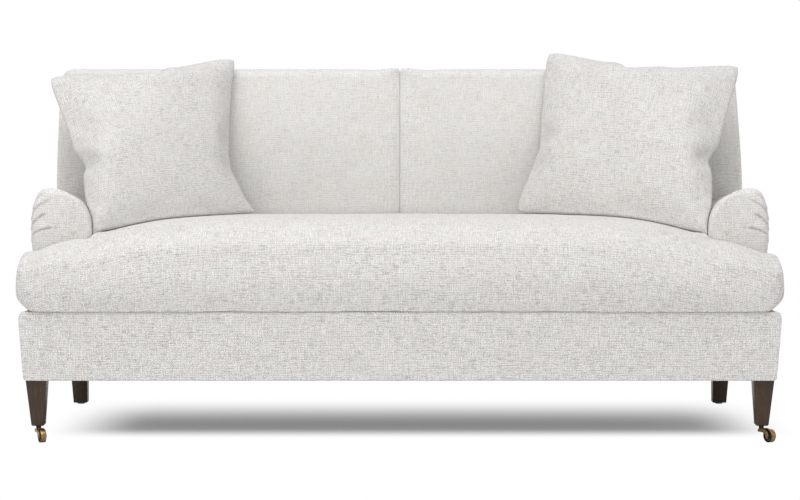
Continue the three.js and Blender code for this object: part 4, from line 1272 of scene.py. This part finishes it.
# %% Press a pillow against what it leans on
def pushes_out(points, others, gap):
    """How far each point must move to stand clear of the other pieces."""
    moves = [Vector((0, 0, 0)) for _ in points]
    for other in others:
        tree = BVHTree.FromPolygons([v.co for v in other.data.vertices], [p.vertices for p in other.data.polygons])
        for k, point in enumerate(points):
            spot, normal, _, distance = tree.find_nearest(point + moves[k], 0.09)
            if spot is not None:
                depth = (point + moves[k] - spot).dot(normal)
                moves[k] += normal * max(gap - depth, 0)
    return moves


def rest_against(piece, others, gap, rounds=3):
    """Both faces move together, and the move fades out over the cloth round it."""
    vertices = piece.data.vertices
    near = [[] for _ in vertices]
    for edge in piece.data.edges:
        a, b = edge.vertices
        near[a].append(b)
        near[b].append(a)
    for _ in range(rounds):
        needed = pushes_out([v.co.copy() for v in vertices], others, gap)
        for a, b, _ in partners():
            needed[a] = needed[b] = max(needed[a], needed[b], key=lambda move: move.length)
        moves = [move.copy() for move in needed]
        for _ in range(8):
            spread = [sum((moves[n] for n in near[k]), Vector((0, 0, 0))) / len(near[k]) for k in range(len(moves))]
            moves = [max(a, b, key=lambda move: move.length) for a, b in zip(needed, spread)]
        for vertex, move in zip(vertices, moves):
            vertex.co += move
    print(piece.name, "pressed by up to", round(max(m.length for m in moves), 4), "m in the last round")


pillow_places = {
    "left": ((-773.2, -246, 494.5), (-385.6, 63.51, 541.91), (-927.83, 69.1, 899.67), (-447.09, 242.39, 949.98)),
    "right": ((773.2, -250, 494.3), (315.0, 79.56, 547.45), (900, 79.56, 930.36), (399.97, 241.67, 966.7)),
}
hollow_sides = {
    "left": ((0, 0.03, 0.08, 0.17, 0.30, 0.60, 0.85, 1), (0, 10, 22, 34, 52, 38, 18, 0)),
    "right": ((0, 0.10, 0.25, 0.40, 0.60, 0.80, 1), (0, 4, 14, 20, 14, 5, 0)),
}
for side, (word, places) in zip((1, -1), pillow_places.items()):
    pillow = pillow_cover(f"throw_pillow_{word}_cover", 2.0 + side)
    fill_pillow(pillow, 0.033)
    lay_pillow(pillow, *places, pillow_thick, side, 3.1 + side, hollow_sides[word])
    leans_on = [seat, bpy.data.objects[f"back_section_{word}"], bpy.data.objects[f"arm_cover_{word}"]]
    rest_against(pillow, leans_on, 1 * mm)
    apply(pillow, "SMOOTH", factor=0.5, iterations=1)
    apply(pillow, "SUBSURF", levels=1, render_levels=1)
    shell = bmesh.new()
    shell.from_mesh(pillow.data)
    if shell.calc_volume(signed=True) < 0:
        bmesh.ops.reverse_faces(shell, faces=shell.faces)
    shell.to_mesh(pillow.data)
    shell.free()
    dress(pillow, pillow_cloth, f"throw_pillow_{word}", "upholstery_fabric", f"throw_pillow_{word}", fill=0.8)

# %% [markdown]
# Legs
#
# Four square tapered legs carry the sofa. The front pair stands straight on casters and the back
# pair is raked. A leg is sawn from a square blank, its edges are eased, and its foot is chamfered
# all round. Here a small square is drawn up from the foot to the top, and its edges are bevelled.

# %% A square tapered leg
def square_leg(name, side, foot, top, chamfer):
    """Foot and top are each (out from the middle, depth, width, height)."""
    levels = [
        (foot[0], foot[1], foot[2] - 2 * chamfer, foot[3]),
        (foot[0], foot[1], foot[2], foot[3] + chamfer),
        top,
    ]
    bpy.ops.object.select_all(action="DESELECT")
    out, depth, width, height = levels[0]
    bpy.ops.mesh.primitive_plane_add(size=width, location=(side * out, from_front(depth), height))
    leg = bpy.context.object
    leg.name = leg.data.name = name
    bpy.ops.object.transform_apply(location=True, rotation=True, scale=True)
    bpy.ops.object.mode_set(mode="EDIT")
    bpy.ops.mesh.select_all(action="SELECT")
    for next_out, next_depth, next_width, next_height in levels[1:]:
        move = (side * (next_out - out), next_depth - depth, next_height - height)
        bpy.ops.mesh.extrude_region_move(TRANSFORM_OT_translate={"value": move})
        share = next_width / width
        centre = (side * next_out, from_front(next_depth), next_height)
        bpy.ops.transform.resize(value=(share, share, 1), center_override=centre)
        out, depth, width, height = next_out, next_depth, next_width, next_height
    bpy.ops.mesh.select_all(action="SELECT")
    bpy.ops.mesh.normals_make_consistent(inside=False)
    bpy.ops.object.mode_set(mode="OBJECT")
    apply(leg, "BEVEL", width=1.8 * mm, segments=3, limit_method="ANGLE", angle_limit=math.radians(50))
    alone(leg)
    bpy.ops.object.shade_smooth_by_angle(angle=math.radians(35))
    return leg


leg_foot = (890.6 * mm, 44.6 * mm, 31.5 * mm, 38.7 * mm), (890.6 * mm, 782 * mm, 37.5 * mm, 4.3 * mm)
leg_head = (893 * mm, 44.6 * mm, 50 * mm, 152.2 * mm), (893 * mm, 764 * mm, 50 * mm, 152.2 * mm)
leg_chamfer = 2.5 * mm, 0.9 * mm
for side, word in ((-1, "left"), (1, "right")):
    for where, foot, top, chamfer in zip(("front", "rear"), leg_foot, leg_head, leg_chamfer):
        leg = square_leg(f"leg_{where}_{word}_wood", side, foot, top, chamfer)
        dress(leg, espresso, "frame", "leg_wood", f"leg_{where}_{word}")

# %% [markdown]
# Turned parts
#
# Glides, stems, wheels and axles are round. A lathe would cut each from its outline, so each is
# drawn up here from a disc or a ring, which is widened or narrowed at every step of the outline.

# %% Turning from an outline
def turned(name, outline, centre, axis=(0, 0, 1), hollow=False, steps=40):
    """Outline is (radius, height) along the axis. A hollow one ends where it starts."""
    bpy.ops.object.select_all(action="DESELECT")
    radius, height = outline[0]
    fill = "NOTHING" if hollow else "NGON"
    bpy.ops.mesh.primitive_circle_add(vertices=steps, radius=radius, fill_type=fill, location=(0, 0, height))
    part = bpy.context.object
    part.name = part.data.name = name
    bpy.ops.object.transform_apply(location=True, rotation=True, scale=True)
    bpy.ops.object.mode_set(mode="EDIT")
    bpy.ops.mesh.select_all(action="SELECT")
    for next_radius, next_height in outline[1:]:
        move = (0, 0, next_height - height)
        bpy.ops.mesh.extrude_region_move(TRANSFORM_OT_translate={"value": move})
        share = next_radius / radius
        bpy.ops.transform.resize(value=(share, share, 1), center_override=(0, 0, next_height))
        radius, height = next_radius, next_height
    bpy.ops.mesh.select_all(action="SELECT")
    bpy.ops.mesh.remove_doubles(threshold=0.01 * mm)
    bpy.ops.mesh.normals_make_consistent(inside=False)
    bpy.ops.object.mode_set(mode="OBJECT")
    part.matrix_world = Matrix.Translation(centre) @ Vector(axis).to_track_quat("Z", "Y").to_matrix().to_4x4()
    bpy.ops.object.transform_apply(location=True, rotation=True, scale=True)
    alone(part)
    bpy.ops.object.shade_smooth_by_angle(angle=math.radians(35))
    return part


def in_mm(points):
    return [(a * mm, b * mm) for a, b in points]


# %% Glides under the rear legs
glide_outline = in_mm([(7.7, 0), (9.4, 0.3), (10.5, 1.0), (11, 2.0), (11, 3.6), (10.6, 4.0)])
for side, word in ((-1, "left"), (1, "right")):
    glide = turned(f"glide_{word}_steel", glide_outline, (side * leg_foot[1][0], from_front(leg_foot[1][1]), 0))
    dress(glide, zinc_steel, "frame", "steel", f"glide_rear_{word}")

# %% [markdown]
# Casters
#
# Under each front leg is a small brass caster. Its stem and collar stay in the leg. The horn is a
# cast fork: a round neck turns on the stem and two cheeks sweep out from it and down to the axle.
# It is cut from one plate with the cheek's outline, slotted for the wheel and joined to its neck.

# %% The horn's outline and the caster's places
caster_trail, neck_top, neck_bottom = 31 * mm, 36.1 * mm, 27.4 * mm
axle_height = 16.36 * mm
cheek_inner, cheek_outer = 7.3 * mm, 9.7 * mm
cheek_shares = [
    (-0.08, 0.64), (-0.08, 0.84), (0.30, 0.90), (0.70, 0.86), (1.02, 0.70), (1.16, 0.46), (1.11, 0.30), (1.0, 0.25),
    (0.89, 0.30), (0.80, 0.46), (0.70, 0.57), (0.50, 0.64), (0.24, 0.65),
]
caster_turn = {"left": math.radians(24), "right": math.radians(31.5)}


def horn_outline():
    corners = [Vector((r * caster_trail, z * neck_top)) for r, z in cheek_shares]
    sweep = through(corners[1:8], 1.6 * mm) + through(corners[7:], 1.6 * mm)[1:]
    return [corners[0]] + sweep[:-1]


print("horn outline of", len(horn_outline()), "points")

# %% A caster's horn
def caster_horn(name):
    outline = horn_outline()
    bpy.ops.object.select_all(action="DESELECT")
    bpy.ops.mesh.primitive_circle_add(vertices=len(outline), radius=1, fill_type="NGON")
    horn = bpy.context.object
    horn.name = horn.data.name = name
    for vertex, spot in zip(horn.data.vertices, outline):
        vertex.co = (spot.x, -cheek_outer, spot.y)
    bpy.ops.object.mode_set(mode="EDIT")
    bpy.ops.mesh.select_all(action="SELECT")
    bpy.ops.mesh.extrude_region_move(TRANSFORM_OT_translate={"value": (0, 2 * cheek_outer, 0)})
    bpy.ops.mesh.select_all(action="SELECT")
    bpy.ops.mesh.normals_make_consistent(inside=False)
    bpy.ops.object.mode_set(mode="OBJECT")
    apply(horn, "BEVEL", width=0.7 * mm, segments=3, limit_method="ANGLE", angle_limit=math.radians(60))
    slot_start = 8.6 * mm
    bpy.ops.mesh.primitive_cube_add(size=1, location=(slot_start + 30 * mm, 0, 18 * mm))
    gap = bpy.context.object
    gap.scale = (60 * mm, 2 * cheek_inner, 60 * mm)
    neck = turned("neck", in_mm([(5.6, 27.4), (6.25, 28), (6.25, 35.4), (5.7, 36.1)]), (0, 0, 0))
    apply(horn, "BOOLEAN", object=gap, operation="DIFFERENCE", solver="EXACT")
    apply(horn, "BOOLEAN", object=neck, operation="UNION", solver="EXACT")
    for tool in (gap, neck):
        bpy.data.objects.remove(tool, do_unlink=True)
    alone(horn)
    bpy.ops.object.shade_smooth_by_angle(angle=math.radians(35))
    return horn


# %% Casters
wheel_outline = in_mm([
    (2.3, -7.0), (6.4, -7.0), (7.0, -6.6), (7.2, -4.7), (13.6, -4.7), (14.0, -6.6), (14.5, -7.0), (15.6, -7.0),
    (16.2, -6.4), (16.36, -5.6), (16.36, 5.6), (16.2, 6.4), (15.6, 7.0), (14.5, 7.0), (14.0, 6.6), (13.6, 4.7),
    (7.2, 4.7), (7.0, 6.6), (6.4, 7.0), (2.3, 7.0), (2.3, -7.0),
])
axle_outline = in_mm([
    (2.4, -11.2), (3.3, -10.8), (3.5, -10.0), (2.0, -10.0), (2.0, 10.0), (3.5, 10.0), (3.3, 10.8), (2.4, 11.2),
])
stem_outline = in_mm([
    (4.5, 24.7), (4.5, 27.1), (3.0, 27.1), (3.0, 36.4), (7.0, 36.4), (7.5, 36.8), (7.5, 38.1), (7.1, 38.4), (3.0, 38.4),
    (3.0, 68.7),
])
for side, word in ((-1, "left"), (1, "right")):
    pin = Vector((side * leg_foot[0][0], from_front(leg_foot[0][1]), 0))
    angle = caster_turn[word]
    forward = Vector((math.sin(angle), -math.cos(angle), 0))
    across = Vector((math.cos(angle), math.sin(angle), 0))
    axle_spot = pin + forward * caster_trail + Vector((0, 0, axle_height))
    stem = turned(f"caster_stem_{word}_brass", stem_outline, pin)
    dress(stem, dark_brass, "frame", "antique_brass", f"caster_stem_{word}")
    horn = caster_horn(f"caster_horn_{word}_brass")
    horn.matrix_world = Matrix.Translation(pin) @ Matrix.Rotation(angle - math.pi / 2, 4, "Z")
    bpy.ops.object.transform_apply(location=True, rotation=True, scale=True)
    dress(horn, antique_brass, f"caster_{word}", "antique_brass", f"caster_horn_{word}")
    horn.data.materials.append(dark_brass)
    for polygon in horn.data.polygons:
        if (polygon.center - pin).xy.length < 6.8 * mm:
            polygon.material_index = 1
    wheel = turned(f"caster_wheel_{word}_brass", wheel_outline, axle_spot, across, hollow=True, steps=48)
    dress(wheel, antique_brass, f"wheel_{word}", "antique_brass", f"caster_wheel_{word}")
    # The wheel's sides and hub take the dark brass, and its tread the bright brass.
    wheel.data.materials.append(dark_brass)
    for polygon in wheel.data.polygons:
        away = polygon.center - axle_spot
        if abs(away.dot(across)) > 6.2 * mm or (away - across * away.dot(across)).length < 15 * mm:
            polygon.material_index = 1
    axle = turned(f"caster_axle_{word}_brass", axle_outline, axle_spot, across)
    dress(axle, antique_brass, f"caster_{word}", "antique_brass", f"caster_axle_{word}")

# %% [markdown]
# The frame's own parts
#
# The hidden frame is kept as it came in. Its rails and posts are bare hardwood, with the grain
# running along each. The springs and bolts are plated steel and the webbing is black.

# %% Finishes for the parts that are kept
kept = {
    "front_rail": bare_wood["x"], "back_rail": bare_wood["x"], "back_lower_rail": bare_wood["x"],
    "back_top_rail": bare_wood["x"], "side_rail": bare_wood["y"], "seat_stretcher": bare_wood["y"],
    "arm_top_rail": bare_wood["y"], "corner_block": bare_wood["z"], "arm_stump": bare_wood["z"],
    "back_post": bare_wood["z"], "seat_spring": zinc_steel, "leg_bolt": zinc_steel, "back_webbing": lining_cloth,
}
finished = 0
for name, part in nodes.items():
    for start, finish in kept.items():
        if name.startswith(start):
            part.data.materials.clear()
            part.data.materials.append(finish)
            finished += 1
print("finished", finished, "kept parts")

# %% [markdown]
# Floor and light
#
# The sofa stands on a plain white floor in an even white room, under one broad soft lamp that is
# a little in front of it and above. The light is plain, so the cloth shows about as it is
# written. The floor is lifted to full white for the camera only, and keeps the shadow.

# %% Floor
bpy.ops.object.select_all(action="DESELECT")
bpy.ops.mesh.primitive_plane_add(size=60)
floor = bpy.context.object
floor.name = "floor"
ground = Finish("floor_white", Roughness=1.0, Base_Color=(0.86, 0.86, 0.86, 1))
ground.shader.inputs["Specular IOR Level"].default_value = 0.0
rays = ground.node("ShaderNodeLightPath")
lift = 0.135
glow = ground.node("ShaderNodeEmission", {}, {"Color": (1, 1, 1, 1), "Strength": rays * lift})
sum_of = ground.node("ShaderNodeAddShader", {}, {0: Signal(ground, ground.shader.outputs[0]), 1: glow})
spot = ground.node("ShaderNodeTexCoord", {}, {}, out=3)
floor_x = ground.node("ShaderNodeSeparateXYZ", {}, {"Vector": spot})
floor_y = Signal(ground, floor_x.socket.node.outputs[1])


def soft_edge(signal, inner, outer):
    sockets = {"Value": signal, "From Min": inner, "From Max": outer, "To Min": 1.0, "To Max": 0.0}
    return ground.node("ShaderNodeMapRange", {"interpolation_type": "SMOOTHSTEP"}, sockets)


aside = ground.node("ShaderNodeMath", {"operation": "ABSOLUTE"}, {0: floor_x - 0.05})
shadow_area = soft_edge(aside, 0.70, 0.98) * soft_edge(floor_y, -0.10, 0.50) * soft_edge(floor_y, -0.16, -0.36)
far = 1 - shadow_area * 0.94
white = ground.node("ShaderNodeEmission", {}, {"Color": (1, 1, 1, 1), "Strength": 1.0})
either = ground.node("ShaderNodeMixShader", {}, {0: far * rays, 1: sum_of, 2: white})
ground.tree.links.new(either.socket, ground.tree.nodes["Material Output"].inputs["Surface"])
floor.data.materials.append(ground.material)

# %% Room and lamps
world = bpy.data.worlds.new("room")
bpy.context.scene.world = world
world.use_nodes = True
sky = world.node_tree.nodes["Background"]
path = world.node_tree.nodes.new("ShaderNodeLightPath")
seen = world.node_tree.nodes.new("ShaderNodeMath")
seen.operation = "MAXIMUM"
also = world.node_tree.nodes.new("ShaderNodeMath")
also.operation = "MAXIMUM"
world.node_tree.links.new(path.outputs["Is Camera Ray"], seen.inputs[0])
world.node_tree.links.new(path.outputs["Is Glossy Ray"], seen.inputs[1])
world.node_tree.links.new(seen.outputs[0], also.inputs[0])
world.node_tree.links.new(path.outputs["Is Transmission Ray"], also.inputs[1])
room_light = 0.61
strength = world.node_tree.nodes.new("ShaderNodeMapRange")
strength.inputs["To Min"].default_value = room_light
strength.inputs["To Max"].default_value = 1.0
world.node_tree.links.new(also.outputs[0], strength.inputs["Value"])
world.node_tree.links.new(strength.outputs[0], sky.inputs["Strength"])
sky.inputs["Color"].default_value = (1, 1, 1, 1)


def lamp(name, place, aim, size, power):
    data = bpy.data.lights.new(name, "AREA")
    data.shape = "RECTANGLE"
    data.size, data.size_y = size
    data.energy = power
    made = bpy.data.objects.new(name, data)
    made.location = place
    made.rotation_euler = (Vector(aim) - Vector(place)).to_track_quat("-Z", "Y").to_euler()
    bpy.context.collection.objects.link(made)


lamp("soft_box_above", (-0.6, -2.0, 4.6), (0, 0, 0.4), (5.5, 3.8), 186)
lamp("soft_box_front", (-1.2, -8.0, 2.6), (0, 0, 0.5), (5.5, 3.6), 77)
print("room light", room_light)
